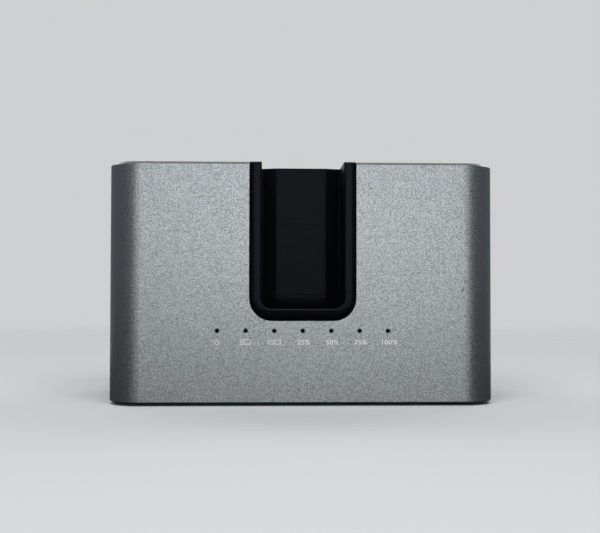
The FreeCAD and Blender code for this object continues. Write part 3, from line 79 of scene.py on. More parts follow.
FLOOR_ROUGHNESS = 0.85
FLOOR_RADIUS = 3.0
FLOOR_FADE = (0.12, 0.85)
FLOOR_MIRRORED = (0.05, 0.30)
PALE = (0.62, 0.625, 0.63, 1.0)
PALE_MIRRORED = (0.86, 0.97)
ROOM = (0.146, 0.157, 0.174, 1.0)


def put(tree, kind, settings=None, **sockets):
    """A shader node; its sockets, by name or by _ and number, each get a constant or a link."""
    made = tree.nodes.new(kind)
    for name, value in (settings or {}).items():
        setattr(made, name, value)
    for name, value in sockets.items():
        socket = made.inputs[int(name[1:]) if name[0] == "_" else name.replace("_", " ")]
        if isinstance(value, bpy.types.NodeSocket):
            tree.links.new(value, socket)
        else:
            socket.default_value = value
    return made


def math_node(tree, operation, first, second=0.0, third=0.0):
    """What a Math node gives."""
    made = put(tree, "ShaderNodeMath", {"operation": operation}, _0=first, _1=second, _2=third)
    return made.outputs["Value"]


def vector_math(tree, operation, **sockets):
    """What a Vector Math node gives: a number for a length or a dot product, else a vector."""
    made = put(tree, "ShaderNodeVectorMath", {"operation": operation}, **sockets)
    return made.outputs["Value" if operation in ("LENGTH", "DOT_PRODUCT") else "Vector"]


def ramp(tree, value, low, high, start=0.0, end=1.0):
    """A smooth step from start to end while a value goes from low to high."""
    made = put(tree, "ShaderNodeMapRange", {"interpolation_type": "SMOOTHSTEP"},
               Value=value, From_Min=low, From_Max=high, To_Min=start, To_Max=end)
    return made.outputs["Result"]


def mix_colour(tree, factor, first, second):
    """The colour between two colours."""
    return put(tree, "ShaderNodeMix", {"data_type": "RGBA"}, _0=factor, _6=first, _7=second).outputs[2]


def split(tree, vector):
    """The X, Y and Z of a vector."""
    return put(tree, "ShaderNodeSeparateXYZ", _0=vector).outputs


def place_on(tree, socket="Object"):
    """Where a point lies on its piece, or with Normal, which way the surface faces there."""
    return put(tree, "ShaderNodeTexCoord").outputs[socket]


def link_into_scene(thing):
    """Puts an object into the scene."""
    bpy.context.scene.collection.objects.link(thing)
    return thing


def aim(thing, place, target, roll=0.0):
    """Stands a camera or lamp at a place, turned to a target."""
    turn = (target - place).to_track_quat("-Z", "Y").to_matrix()
    thing.matrix_world = Matrix.Translation(place) @ (turn @ Matrix.Rotation(roll, 3, "Z")).to_4x4()


def soft_box(name, place, size, power, roll=0.0):
    """A rectangular area lamp turned to the dock."""
    lamp = bpy.data.lights.new(name, "AREA")
    lamp.shape = "RECTANGLE"
    lamp.size, lamp.size_y = size
    lamp.energy = power
    aim(link_into_scene(bpy.data.objects.new(name, lamp)), place, STUDIO_AIM, roll)


camera = link_into_scene(bpy.data.objects.new("camera", bpy.data.cameras.new("camera")))
camera.data.lens = LENS
camera.data.sensor_width = SENSOR
camera.data.clip_start = NEAREST_SEEN
aim(camera, CAMERA_PLACE, CAMERA_AIM, CAMERA_ROLL)
bpy.context.scene.camera = camera
bpy.context.scene.view_settings.view_transform = "Standard"

soft_box("key_light", KEY_PLACE, KEY_SIZE, KEY_POWER, KEY_ROLL)
soft_box("fill_light", FILL_PLACE, FILL_SIZE, FILL_POWER)
soft_box("top_light", TOP_PLACE, TOP_SIZE, TOP_POWER)
for side, name in ((-1, "rim_light_left"), (1, "rim_light_right")):
    soft_box(name, Vector((side * RIM_PLACE.x, RIM_PLACE.y, RIM_PLACE.z)), RIM_SIZE, RIM_POWER)

floor_mesh = bpy.data.meshes.new("floor")
shape = bmesh.new()
bmesh.ops.create_circle(shape, cap_ends=True, segments=96, radius=FLOOR_RADIUS)
shape.to_mesh(floor_mesh)
shape.free()
floor = link_into_scene(bpy.data.objects.new("floor", floor_mesh))

paper = bpy.data.materials.new("floor_paper")
paper.use_nodes = True
tree = paper.node_tree
shader = tree.nodes["Principled BSDF"]
shader.inputs["Roughness"].default_value = FLOOR_ROUGHNESS
shader.inputs["Specular IOR Level"].default_value = 0.0
sight = put(tree, "ShaderNodeLightPath")
spot = place_on(tree)
behind = ramp(tree, split(tree, spot)["Y"], *FLOOR_MIRRORED)
mirrored = math_node(tree, "MULTIPLY", sight.outputs["Is Glossy Ray"], behind)
seen = math_node(tree, "MAXIMUM", sight.outputs["Is Camera Ray"], mirrored)
tree.links.new(mix_colour(tree, seen, FLOOR_DIM, FLOOR_SEEN), shader.inputs["Base Color"])
reach = vector_math(tree, "LENGTH", _0=spot)
clear = put(tree, "ShaderNodeBsdfTransparent")
blend = put(tree, "ShaderNodeMixShader", _0=ramp(tree, reach, *FLOOR_FADE), _1=shader.outputs["BSDF"],
            _2=clear.outputs["BSDF"])
tree.links.new(blend.outputs["Shader"], tree.nodes["Material Output"].inputs["Surface"])
floor_mesh.materials.append(paper)

world = bpy.data.worlds.new("studio")
world.use_nodes = True
bpy.context.scene.world = world
tree = world.node_tree
sight = put(tree, "ShaderNodeLightPath")
behind = ramp(tree, split(tree, place_on(tree, "Generated"))["Y"], *PALE_MIRRORED)
mirrored = math_node(tree, "MULTIPLY", sight.outputs["Is Glossy Ray"], behind)
seen = math_node(tree, "MAXIMUM", sight.outputs["Is Transmission Ray"], mirrored)
seen = math_node(tree, "MAXIMUM", sight.outputs["Is Camera Ray"], seen)
tree.links.new(mix_colour(tree, seen, ROOM, PALE), tree.nodes["Background"].inputs["Color"])

# Outer sleeve: an aluminium extrusion with a milled notch, bead-blasted and clear grey anodised, and
# clamped between deck and base. The blast leaves fine sparkling pits, fainter round the corners, and
# the anodising a slight cloudiness. The walls of the light holes and a thin ring round each are
# painted dark as shade.
SLEEVE_COLOUR = (0.343, 0.367, 0.376, 1.0)
SLEEVE_EDGE = (0.47, 0.49, 0.50, 1.0)
BLAST_SIZE = 0.00017
BLAST_DEPTH = 0.000012
BLAST_TINT = 1.12
BLAST_ON_CORNERS = 0.25
CORNER_TO_FLAT = (0.80, 0.99)
GRAIN_TURN = (0.6, 0.9, 0.4)
GRAIN_CONTRAST = 2.4
CLOUD_RATE = 34.0
RUBBED_BEND = (0.99, 0.86)
RUBBED_PATCHES = (0.35, 0.62)
NICK_PLACE = (0.0534, -0.034, 0.0387)
NICK_SIZE = (0.00025, 0.001, 0.00125)
NICK_LEAN = 0.2
NICK_DEPTH = 0.75
LIGHT_PITCH = 0.00945
# Painted shade in the light holes: its radius, soft edge, height and strength, and its reach into the face.
HOLE_SHADE_RADIUS = 0.00076
HOLE_SHADE_BLUR = 0.00006
HOLE_Z = 0.0249
HOLE_SHADE_STRENGTH = 0.9
HOLE_WALL = (-0.030, -0.031)
# The near-black of a small nick, and of the painted shade in the light holes.
NICK_AND_PAINTED_SHADE = (0.012, 0.012, 0.013, 1.0)


def new_material(name, roughness, metallic=0.0, specular=0.5):
    """A material, its tree and its shader, whose constants are set on the shader itself."""
    made = bpy.data.materials.new(name)
    made.use_nodes = True
    shader = made.node_tree.nodes["Principled BSDF"]
    shader.inputs["Roughness"].default_value = roughness
    shader.inputs["Metallic"].default_value = metallic
    shader.inputs["Specular IOR Level"].default_value = specular
    return made, made.node_tree, shader


def new_group(name, inputs, outputs):
    """A shader node group with number inputs and named outputs, with its input and output nodes."""
    made = bpy.data.node_groups.new(name, "ShaderNodeTree")
    for label, value in inputs.items():
        made.interface.new_socket(label, in_out="INPUT", socket_type="NodeSocketFloat").default_value = value
    for label in outputs:
        made.interface.new_socket(label, in_out="OUTPUT", socket_type="NodeSocketFloat")
    return made, made.nodes.new("NodeGroupInput"), made.nodes.new("NodeGroupOutput")


def grain_group():
    """Grain of one size: a value about 1 that tints the colour, and a height for bump."""
    given = {"Size": 0.0003, "Tint": 0.1, "Cloud": 0.03}
    tree, entry, leave = new_group("surface_grain", given, ("Tint", "Height"))
    rate = math_node(tree, "DIVIDE", 1.0, entry.outputs["Size"])
    turned = put(tree, "ShaderNodeVectorRotate", {"rotation_type": "EULER_XYZ"},
                 Vector=place_on(tree), Rotation=GRAIN_TURN)
    spot = turned.outputs["Vector"]
    fine = put(tree, "ShaderNodeTexNoise", Vector=spot, Scale=rate, Detail=1.0, Roughness=0.6)
    pits = put(tree, "ShaderNodeTexVoronoi", Vector=spot, Scale=rate)
    cloud = put(tree, "ShaderNodeTexNoise", Vector=spot, Scale=CLOUD_RATE, Detail=3.0)
    spread = math_node(tree, "SUBTRACT", fine.outputs["Fac"], 0.5)
    facet = math_node(tree, "SUBTRACT", split(tree, pits.outputs["Color"])["X"], 0.5)
    both = math_node(tree, "MULTIPLY_ADD", spread, GRAIN_CONTRAST, facet)
    drift = math_node(tree, "SUBTRACT", cloud.outputs["Fac"], 0.5)
    drift = math_node(tree, "MULTIPLY", drift, entry.outputs["Cloud"])
    tint = math_node(tree, "MULTIPLY_ADD", both, entry.outputs["Tint"], math_node(tree, "ADD", drift, 1.0))
    tree.links.new(math_node(tree, "MAXIMUM", tint, 0.05), leave.inputs["Tint"])
    height = math_node(tree, "MULTIPLY_ADD", spread, GRAIN_CONTRAST, pits.outputs["Distance"])
    tree.links.new(height, leave.inputs["Height"])
    return tree


def edge_group():
    """Where handling has rubbed an edge: 1 on a sharp outer edge, broken up by noise."""
    tree, entry, leave = new_group("rubbed_edge", {"Radius": 0.0003, "Patch": 300.0}, ("Mask",))
    rounded = put(tree, "ShaderNodeBevel", {"samples": 4}, Radius=entry.outputs["Radius"])
    flat = put(tree, "ShaderNodeNewGeometry").outputs["Normal"]
    facing = vector_math(tree, "DOT_PRODUCT", _0=rounded.outputs["Normal"], _1=flat)
    edge = ramp(tree, facing, *RUBBED_BEND)
    patch = put(tree, "ShaderNodeTexNoise", Vector=place_on(tree), Scale=entry.outputs["Patch"], Detail=3.0)
    broken = ramp(tree, patch.outputs["Fac"], *RUBBED_PATCHES)
    tree.links.new(math_node(tree, "MULTIPLY", edge, broken), leave.inputs["Mask"])
    return tree


GRAIN = grain_group()
EDGE = edge_group()


def finish(tree, shader, colour, size, tint, depth, cloud=0.03, rubbed=None, radius=0.0003):
    """Grain in the colour and as bump, and a rubbed colour along the edges; gives the colour socket."""
    grain = put(tree, "ShaderNodeGroup", {"node_tree": GRAIN}, Size=size, Tint=tint, Cloud=cloud)
    edge = put(tree, "ShaderNodeGroup", {"node_tree": EDGE}, Radius=radius)
    base = mix_colour(tree, edge.outputs["Mask"], colour, rubbed or colour)
    shade = vector_math(tree, "SCALE", _0=base, Scale=grain.outputs["Tint"])
    tree.links.new(shade, shader.inputs["Base Color"])
    bump = put(tree, "ShaderNodeBump", Distance=depth, Height=grain.outputs["Height"])
    tree.links.new(bump.outputs["Normal"], shader.inputs["Normal"])
    return shade


def wear(material, *names):
    """Puts a material on CAD nodes."""
    for name in names:
        for slot in NODES[name].material_slots:
            slot.material = material


anodised, tree, shader = new_material("anodised_aluminium", roughness=0.36, metallic=1.0)
facing = split(tree, place_on(tree, "Normal"))
flat = math_node(tree, "MAXIMUM", *[math_node(tree, "ABSOLUTE", facing[way]) for way in "XY"])
blast = ramp(tree, flat, *CORNER_TO_FLAT, BLAST_ON_CORNERS * BLAST_TINT, BLAST_TINT)
shade = finish(tree, shader, SLEEVE_COLOUR, BLAST_SIZE, blast, BLAST_DEPTH, rubbed=SLEEVE_EDGE)
spot = place_on(tree)
from_nick = put(tree, "ShaderNodeMapping", {"vector_type": "TEXTURE"},
                Vector=spot, Location=NICK_PLACE, Rotation=(0.0, NICK_LEAN, 0.0), Scale=NICK_SIZE)
from_nick = vector_math(tree, "LENGTH", _0=from_nick.outputs["Vector"])
nick = ramp(tree, from_nick, 1.0, 0.6, 0.0, NICK_DEPTH)
# Painted shade: the walls of the seven light holes and a thin ring round each turn near-black.
parts = split(tree, spot)
across = math_node(tree, "WRAP", parts["X"], -0.5 * LIGHT_PITCH, 0.5 * LIGHT_PITCH)
above = math_node(tree, "SUBTRACT", parts["Z"], HOLE_Z)
off_axis = put(tree, "ShaderNodeCombineXYZ", X=across, Y=above)
off_axis = vector_math(tree, "LENGTH", _0=off_axis.outputs["Vector"])
hole_shade_disc = ramp(tree, off_axis, HOLE_SHADE_RADIUS + HOLE_SHADE_BLUR, HOLE_SHADE_RADIUS, 0.0, HOLE_SHADE_STRENGTH)
row = ramp(tree, math_node(tree, "ABSOLUTE", parts["X"]), 3.5 * LIGHT_PITCH, 3.4 * LIGHT_PITCH)
front = ramp(tree, parts["Y"], *HOLE_WALL)
painted_hole_shade = math_node(tree, "MULTIPLY", hole_shade_disc, math_node(tree, "MULTIPLY", row, front))
nick_and_painted_shade = math_node(tree, "MAXIMUM", nick, painted_hole_shade)
tree.links.new(mix_colour(tree, nick_and_painted_shade, shade, NICK_AND_PAINTED_SHADE), shader.inputs["Base Color"])
wear(anodised, "outer_sleeve")

# Printed marks on the sleeve: thin white ink, pad-printed under the lights as three plain signs
# (power, drive, card) and the quarters of the copy in percent, and on the back over the power jack
# and the copy button.
INK_COLOUR = (0.84, 0.80, 0.74, 1.0)
INK_THICKNESS = 0.000020
INK_PROUD = 0.75
INK_LINE = 0.00023
FACE_Y = -0.034
BACK_Y = 0.034
MARK_Z = 0.02115
POWER_RING = 0.00072
POWER_RING_Z = -0.00008
POWER_STROKE = (0.00005, 0.00092)
DRIVE_OUTLINE = (0.00175, 0.00078, 0.0003)
PLATTER_X = -0.00055
PLATTER_RADIUS = 0.00040
DRIVE_ARM = ((0.0004, -0.0004), (0.0012, -0.0004))
CARD_OUTLINE = (0.0021, 0.00062, 0.00015)
CARD_CHIP = (0.0004, 0.00028, 0.00005)
CARD_CHIP_LINE = 0.00016
TOOTH_X = -0.0018
TOOTH_PITCH = 0.00034
TOOTH_HALF = 0.0003
TOOTH_LINE = 0.00014
FIGURE_HEIGHT = 0.00155
FIGURE_SHARE = 0.70
FIGURE_BREADTH = 1.11
FIGURE_SPACING = 1.06
FIGURE_BOLD = 0.000025
FIGURE_SHIFT = 0.0003
BUTTON_MARK = (-0.030, 0.0196)
SHEET_OUTLINE = (0.0008, 0.0010, 0.0002)
SHEET_STEP = (0.0004, 0.0003)
JACK_MARK = (0.026, 0.0213)
JACK_MARK_HALF = (0.0012, 0.00035)
DASH_PITCH = 0.00092
DASH_LENGTH = 0.00056
SHARP_ANGLE = math.radians(38)


def print_plane(x, y, z, way):
    """A frame on the face (way -1) or the back (way 1): right, up and out as someone reads it."""
    turn = Matrix(((-way, 0, 0), (0, 0, way), (0, 1, 0))).to_4x4()
    return Matrix.Translation((x, y, z)) @ turn


def skin(shape, rows, closed=False):
    """Faces from each row of corners to the next, and caps on the first and last, unless these meet."""
    for first, second in list(zip(rows, rows[1:])) + ([(rows[-1], rows[0])] if closed else []):
        for j in range(len(first)):
            shape.faces.new((first[j], first[j - 1], second[j - 1], second[j]))
    if not closed:
        shape.faces.new(rows[0])
        shape.faces.new(rows[-1][::-1])


def ribbon(shape, plane, path, width=INK_LINE, closed=False):
    """A printed line along a flat path, with mitred corners."""
    path = [Vector(point) for point in path]
    top, foot = INK_PROUD * INK_THICKNESS, (INK_PROUD - 1.0) * INK_THICKNESS
    rows = []
    for i, here in enumerate(path):
        ways = []
        if i or closed:
            ways.append((here - path[i - 1]).normalized())
        if i < len(path) - 1 or closed:
            ways.append((path[(i + 1) % len(path)] - here).normalized())
        across = sum((Vector((-way.y, way.x)) for way in ways), Vector((0.0, 0.0))).normalized()
        lean = max(0.5, across.dot(Vector((-ways[0].y, ways[0].x))))
        out = across * (0.5 * width / lean)
        corners = ((here + out, top), (here - out, top), (here - out, foot), (here + out, foot))
        rows.append([shape.verts.new(plane @ Vector((*spot, height))) for spot, height in corners])
    skin(shape, rows, closed)


def arc(x, z, radius, start, end, count=20):
    """Points on an arc, in degrees."""
    steps = [math.radians(start + (end - start) * i / count) for i in range(count + 1)]
    return [(x + radius * math.cos(step), z + radius * math.sin(step)) for step in steps]


def rounded_frame(half_width, half_height, corner):
    """The outline of a rounded rectangle."""
    points = []
    for x, z, start in ((1, 1, 0), (-1, 1, 90), (-1, -1, 180), (1, -1, 270)):
        points += arc(x * (half_width - corner), z * (half_height - corner), corner, start, start + 90, 5)
    return points


def figures(shape, plane, words, height):
    """Words in the plain built-in face, centred, as thin ink."""
    curve = bpy.data.curves.new("figures", "FONT")
    curve.body = words
    curve.align_x = "CENTER"
    curve.size = height / FIGURE_SHARE
    curve.extrude = 0.5 * INK_THICKNESS
    curve.offset = FIGURE_BOLD
    curve.space_character = FIGURE_SPACING
    holder = bpy.data.objects.new("figures", curve)
    mesh = bpy.data.meshes.new_from_object(holder)
    mesh.transform(Matrix.Diagonal((FIGURE_BREADTH, 1.0, 1.0, 1.0)))
    lift = (INK_PROUD - 0.5) * INK_THICKNESS
    mesh.transform(plane @ Matrix.Translation((0.0, -0.5 * height, lift)))
    shape.from_mesh(mesh)
    bpy.data.objects.remove(holder)
    bpy.data.curves.remove(curve)
    bpy.data.meshes.remove(mesh)


def new_piece(name, shape, material, body, smooth=False):
    """Turns a mesh in the making into a piece, which rides on a body if one is named."""
    bmesh.ops.recalc_face_normals(shape, faces=shape.faces)
    mesh = bpy.data.meshes.new(name)
    shape.to_mesh(mesh)
    shape.free()
    if "custom_normal" in mesh.attributes:
        mesh.attributes.remove(mesh.attributes["custom_normal"])
    mesh.materials.clear()
    mesh.materials.append(material)
    if smooth:
        mesh.shade_smooth()
        mesh.set_sharp_from_angle(angle=SHARP_ANGLE)
    piece = link_into_scene(bpy.data.objects.new(name, mesh))
    if body:
        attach(piece, body)
    return piece


ink, tree, shader = new_material("printed_ink", roughness=0.55, specular=0.3)
finish(tree, shader, INK_COLOUR, size=0.00012, tint=0.18, depth=0.000002)

shape = bmesh.new()
plane = print_plane(-3 * LIGHT_PITCH, FACE_Y, MARK_Z, -1)
ribbon(shape, plane, arc(0.0, POWER_RING_Z, POWER_RING, 125, 415))
ribbon(shape, plane, [(0.0, z) for z in POWER_STROKE])
plane = print_plane(-2 * LIGHT_PITCH, FACE_Y, MARK_Z, -1)
ribbon(shape, plane, rounded_frame(*DRIVE_OUTLINE), closed=True)
ribbon(shape, plane, arc(PLATTER_X, 0.0, PLATTER_RADIUS, 0, 340, 14), closed=True)
ribbon(shape, plane, DRIVE_ARM)
plane = print_plane(-1 * LIGHT_PITCH, FACE_Y, MARK_Z, -1)
ribbon(shape, plane, rounded_frame(*CARD_OUTLINE), closed=True)
ribbon(shape, plane, rounded_frame(*CARD_CHIP), CARD_CHIP_LINE, closed=True)
for i in range(4):
    x = TOOTH_X + TOOTH_PITCH * i
    ribbon(shape, plane, ((x, -TOOTH_HALF), (x, TOOTH_HALF)), TOOTH_LINE)
for i, words in enumerate(("25%", "50%", "75%", "100%")):
    plane = print_plane(i * LIGHT_PITCH + FIGURE_SHIFT, FACE_Y, MARK_Z, -1)
    figures(shape, plane, words, FIGURE_HEIGHT)
new_piece("front_marks", shape, ink, "dock")

shape = bmesh.new()
plane = print_plane(BUTTON_MARK[0], BACK_Y, BUTTON_MARK[1], 1)
for side in (-1, 1):
    x, z = side * SHEET_STEP[0], side * SHEET_STEP[1]
    ribbon(shape, plane, [(x + u, z + v) for u, v in rounded_frame(*SHEET_OUTLINE)], closed=True)
plane = print_plane(JACK_MARK[0], BACK_Y, JACK_MARK[1], 1)
half_width, half_gap = JACK_MARK_HALF
ribbon(shape, plane, ((-half_width, half_gap), (half_width, half_gap)))
for i in range(3):
    x = -half_width + DASH_PITCH * i
    ribbon(shape, plane, ((x, -half_gap), (x + DASH_LENGTH, -half_gap)))
new_piece("back_marks", shape, ink, "dock")

# Front channel: three near-black mouldings that fit into each other behind the notch, a rounded lip
# that stands in it, a faceted back panel and the cup below it, all in one faintly blue plastic with a
# fine spark-eroded texture.
CHANNEL_COLOUR = (0.0028, 0.0029, 0.0042, 1.0)
CHANNEL_EDGE = (0.005, 0.005, 0.0065, 1.0)
CHANNEL_GLOSS = (0.80, 0.84, 1.0, 1.0)
SPARK_SIZE = 0.00032
SPARK_DEPTH = 0.000012
LIP_HALF = 0.0137
LIP_FLOOR = 0.03225
LIP_CORNER = 0.00345
LIP_ROOT = -0.0331
CREST_SIDE = 0.0016
CREST_FOOT = -0.0004
CROWN_RADIUS = 0.0098
TRAY_BEND_TOP = 0.0363
TRAY_BEND_RADIUS = 0.011
TRAY_WALL = (-0.0168, -0.0150)
CUT_PITCH = 0.0006
LIP_SIDE_FROM = 0.0139
LIP_FOOT_FROM = 0.0280
TRAY_BEND_FROM = 0.0325


def reshaped(node, name, near, cuts, shift, material):
    """A finer copy of a CAD node that stands for it, cut at levels along X and Z, and shifted along Y."""
    shape = bmesh.new()
    shape.from_mesh(NODES[node].data)
    bmesh.ops.remove_doubles(shape, verts=shape.verts, dist=1e-6)
    for way, levels in cuts:
        for level in levels:
            close = {corner for corner in shape.verts if near(corner.co)}
            parts = [part for part in list(shape.faces) + list(shape.edges) if close.issuperset(part.verts)]
            bmesh.ops.bisect_plane(shape, geom=parts + list(close), dist=1e-6,
                                   plane_co=Vector(way) * level, plane_no=way)
    for corner in shape.verts:
        if near(corner.co):
            corner.co.y += shift(corner.co)
    bmesh.ops.triangulate(shape, faces=shape.faces)
    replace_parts(new_piece(name, shape, material, "dock", smooth=True), node)


def lip_crown(spot):
    """How far the crowned lip falls back; its crest lies nearer its inner edge at the foot."""
    across = abs(spot.x) - (LIP_HALF - LIP_CORNER)
    down = LIP_FLOOR + LIP_CORNER - spot.z
    if across > 0 and down > 0:
        outside = math.hypot(across, down) - LIP_CORNER
        foot = down * down / (across * across + down * down)
    else:
        outside, foot = max(across, down) - LIP_CORNER, float(down > across)
    crest = CREST_SIDE + (CREST_FOOT - CREST_SIDE) * foot
    return (outside - crest) ** 2 / (2 * CROWN_RADIUS)


def channel_material(name, specular):
    """The channel's plastic; hands have polished the lip a little more than the walls behind it."""
    made, tree, shader = new_material(name, roughness=0.36, specular=specular)
    shader.inputs["Specular Tint"].default_value = CHANNEL_GLOSS
    finish(tree, shader, CHANNEL_COLOUR, SPARK_SIZE, tint=0.9, depth=SPARK_DEPTH, rubbed=CHANNEL_EDGE)
    return made


def cut_levels(first, count):
    """The levels at which a moulding is cut."""
    return [first + CUT_PITCH * i for i in range(count)]


lip_plastic = channel_material("lip_plastic", specular=0.125)
wall_plastic = channel_material("wall_plastic", specular=0.085)
wear(wall_plastic, "channel_panel")
side_cuts = [way * level for way in (-1, 1) for level in cut_levels(LIP_SIDE_FROM, 7)]
reshaped("front_channel", "channel_moulding", lambda spot: spot.y < LIP_ROOT,
         (((1, 0, 0), side_cuts), ((0, 0, 1), cut_levels(LIP_FOOT_FROM, 13))),
         lip_crown, lip_plastic)
reshaped("channel_tray", "card_tray", lambda spot: TRAY_WALL[0] < spot.y < TRAY_WALL[1],
         (((0, 0, 1), cut_levels(TRAY_BEND_FROM, 7)),),
         lambda spot: max(0.0, TRAY_BEND_TOP - spot.z) ** 2 / (2 * TRAY_BEND_RADIUS),
         wall_plastic)

# Status lights: seven smoked pins of one light guide, which end just behind the face of the sleeve,
# and behind them on a narrow board the lamps, small resin blocks filled with yellow phosphor.
smoked, tree, shader = new_material("smoked_guide", roughness=0.30, specular=0.05)
finish(tree, shader, (0.001, 0.001, 0.0011, 1.0), size=0.0002, tint=0.3, depth=0.000001)
wear(smoked, "light_guide")
phosphor, tree, shader = new_material("lamp_phosphor", roughness=0.35)
finish(tree, shader, (0.80, 0.70, 0.22, 1.0), size=0.00012, tint=0.2, depth=0.000002)
wear(phosphor, "led_chips")

# Top deck and drive bay: black mouldings with a coarser spark texture. Dust settles on the parts of
# them that face up, and their edges are rubbed to a satin grey.
DECK_COLOUR = (0.0125, 0.0125, 0.0135, 1.0)
RUBBED_BLACK = (0.035, 0.035, 0.037, 1.0)
DUST_COLOUR = (0.10, 0.098, 0.092, 1.0)
DUST_SLOPE = (0.55, 0.98)
PATCH_RATE = 90.0
SPECK_RATE = 620.0


def dust_group():
    """Where dust lies: up-facing surfaces, in soft patches with a few fine specks."""
    tree, entry, leave = new_group("settled_dust", {"Amount": 0.1}, ("Mask",))
    spot = place_on(tree)
    up = ramp(tree, split(tree, place_on(tree, "Normal"))["Z"], *DUST_SLOPE)
    patch = put(tree, "ShaderNodeTexNoise", Vector=spot, Scale=PATCH_RATE, Detail=5.0, Roughness=0.65)
    speck = put(tree, "ShaderNodeTexVoronoi", Vector=spot, Scale=SPECK_RATE)
    dots = ramp(tree, speck.outputs["Distance"], 0.16, 0.08)
    lying = math_node(tree, "MULTIPLY_ADD", dots, 0.5, ramp(tree, patch.outputs["Fac"], 0.35, 0.75))
    amount = math_node(tree, "MULTIPLY", entry.outputs["Amount"], up)
    tree.links.new(math_node(tree, "MULTIPLY", lying, amount), leave.inputs["Mask"])
    return tree


DUST = dust_group()


def moulding(name, colour, roughness, specular, dust=0.0, size=SPARK_SIZE, depth=SPARK_DEPTH,
             rubbed=RUBBED_BLACK):
    """A moulded plastic with its texture, rubbed edges and dust."""
    made, tree, shader = new_material(name, roughness, specular=specular)
    shade = finish(tree, shader, colour, size, tint=0.55, depth=depth, cloud=0.12, rubbed=rubbed)
    lying = put(tree, "ShaderNodeGroup", {"node_tree": DUST}, Amount=dust).outputs["Mask"]
    tree.links.new(mix_colour(tree, lying, shade, DUST_COLOUR), shader.inputs["Base Color"])
    tree.links.new(math_node(tree, "MULTIPLY_ADD", lying, 0.5, roughness), shader.inputs["Roughness"])
    return made


deck_plastic = moulding("deck_plastic", DECK_COLOUR, 0.50, 0.38, dust=0.10)
wear(deck_plastic, "top_deck")
bay_plastic = moulding("bay_plastic", (0.0105, 0.0105, 0.0115, 1.0), 0.44, 0.40, dust=0.05, size=0.0002)
wear(bay_plastic, "drive_bay")

# Doors: two thin moulded flaps on one steel pin, the slim one let into the wide one. A torsion spring
# of drawn wire closes each: its coil sits round the pin and winds up as the door goes down.
DRAWN_WIRE = (0.60, 0.60, 0.61, 1.0)
PIN_Y = 0.01945
PIN_Z = 0.0774
COIL_RADIUS = 0.0014
COIL_TURNS = 5.25
COIL_STEPS = 126
WIRE_RADIUS = 0.0002
DOOR_LEG = 0.0070
WALL_LEG = 0.0060
door_plastic = moulding("door_plastic", (0.0135, 0.0135, 0.0145, 1.0), 0.40, 0.42, dust=0.08, size=0.00026)
wear(door_plastic, "bay_door", "slim_door")


def line_group():
    """Fine lines along X, as drawing or brushing leaves them: a tint about 1 and a height."""
    given = {"Length": 0.004, "Width": 0.00006, "Tint": 0.2}
    tree, entry, leave = new_group("drawn_lines", given, ("Tint", "Height"))
    along = math_node(tree, "DIVIDE", 1.0, entry.outputs["Length"])
    across = math_node(tree, "DIVIDE", 1.0, entry.outputs["Width"])
    rates = put(tree, "ShaderNodeCombineXYZ", X=along, Y=across, Z=across).outputs["Vector"]
    stretched = vector_math(tree, "MULTIPLY", _0=place_on(tree), _1=rates)
    lines = put(tree, "ShaderNodeTexNoise", Vector=stretched, Scale=1.0, Detail=3.0)
    spread = math_node(tree, "SUBTRACT", lines.outputs["Fac"], 0.5)
    tree.links.new(math_node(tree, "MULTIPLY_ADD", spread, entry.outputs["Tint"], 1.0), leave.inputs["Tint"])
    tree.links.new(lines.outputs["Fac"], leave.inputs["Height"])
    return tree


LINES = line_group()


def metal(name, colour, roughness, width=0.00006, length=0.004, tint=0.5, depth=0.000002):
    """A metal with fine lines from drawing, pressing or brushing."""
    made, tree, shader = new_material(name, roughness, metallic=1.0)
    lines = put(tree, "ShaderNodeGroup", {"node_tree": LINES}, Length=length, Width=width, Tint=tint)
    shade = vector_math(tree, "SCALE", _0=colour[:3], Scale=lines.outputs["Tint"])
    tree.links.new(shade, shader.inputs["Base Color"])
    bump = put(tree, "ShaderNodeBump", Distance=depth, Height=lines.outputs["Height"])
    tree.links.new(bump.outputs["Normal"], shader.inputs["Normal"])
    return made


def wire(shape, path, radius, sides=10):
    """Round wire along a path, closed at its ends."""
    rings = []
    across = Vector((0.0, 0.0, 1.0))
    ways = [2 * math.pi * j / sides for j in range(sides)]
    for i, here in enumerate(path):
        along = (path[min(i + 1, len(path) - 1)] - path[max(i - 1, 0)]).normalized()
        across = (across - along * across.dot(along)).normalized()
        out = [math.cos(a) * across + math.sin(a) * along.cross(across) for a in ways]
        rings.append([shape.verts.new(here + radius * way) for way in out])
    skin(shape, rings)


def torsion_spring(name, node):
    """A spring from the recess wall, at its left end, to the underside of its door, at its right end."""
    low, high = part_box(node)
    wall_x, door_x = low[0] + WIRE_RADIUS, high[0] - WIRE_RADIUS
    path = [Vector((door_x, PIN_Y - DOOR_LEG, PIN_Z + COIL_RADIUS))]
    for i in range(COIL_STEPS + 1):
        share = i / COIL_STEPS
        turn = math.radians(90.0 - 360.0 * COIL_TURNS * share)
        x = door_x + (wall_x - door_x) * share
        path.append(Vector((x, PIN_Y + COIL_RADIUS * math.cos(turn), PIN_Z + COIL_RADIUS * math.sin(turn))))
    path.append(Vector((wall_x, PIN_Y + COIL_RADIUS, PIN_Z - WALL_LEG)))
    shape = bmesh.new()
    wire(shape, path, WIRE_RADIUS)
    piece = new_piece(name, shape, spring_wire, None, smooth=True)
    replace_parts(piece, node)
    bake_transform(piece)


spring_wire = metal("spring_wire", DRAWN_WIRE, 0.28)
wear(spring_wire, "hinge_pin")
torsion_spring("wide_door_spring", "bay_door_spring")
torsion_spring("thin_door_spring", "slim_door_spring")

# Base: a black moulded plate with vents, a little glossier than the deck, on four glued feet of
# soft black rubber with a coarser, dull face.
base_plastic = moulding("base_plastic", (0.0125, 0.0125, 0.013, 1.0), 0.47, 0.40, dust=0.06)
wear(base_plastic, "base_cover")
foot_rubber = moulding("foot_rubber", (0.020, 0.020, 0.020, 1.0), 0.82, 0.20, dust=0.2,
                       size=0.0006, depth=0.00004)
wear(foot_rubber, "rubber_feet")

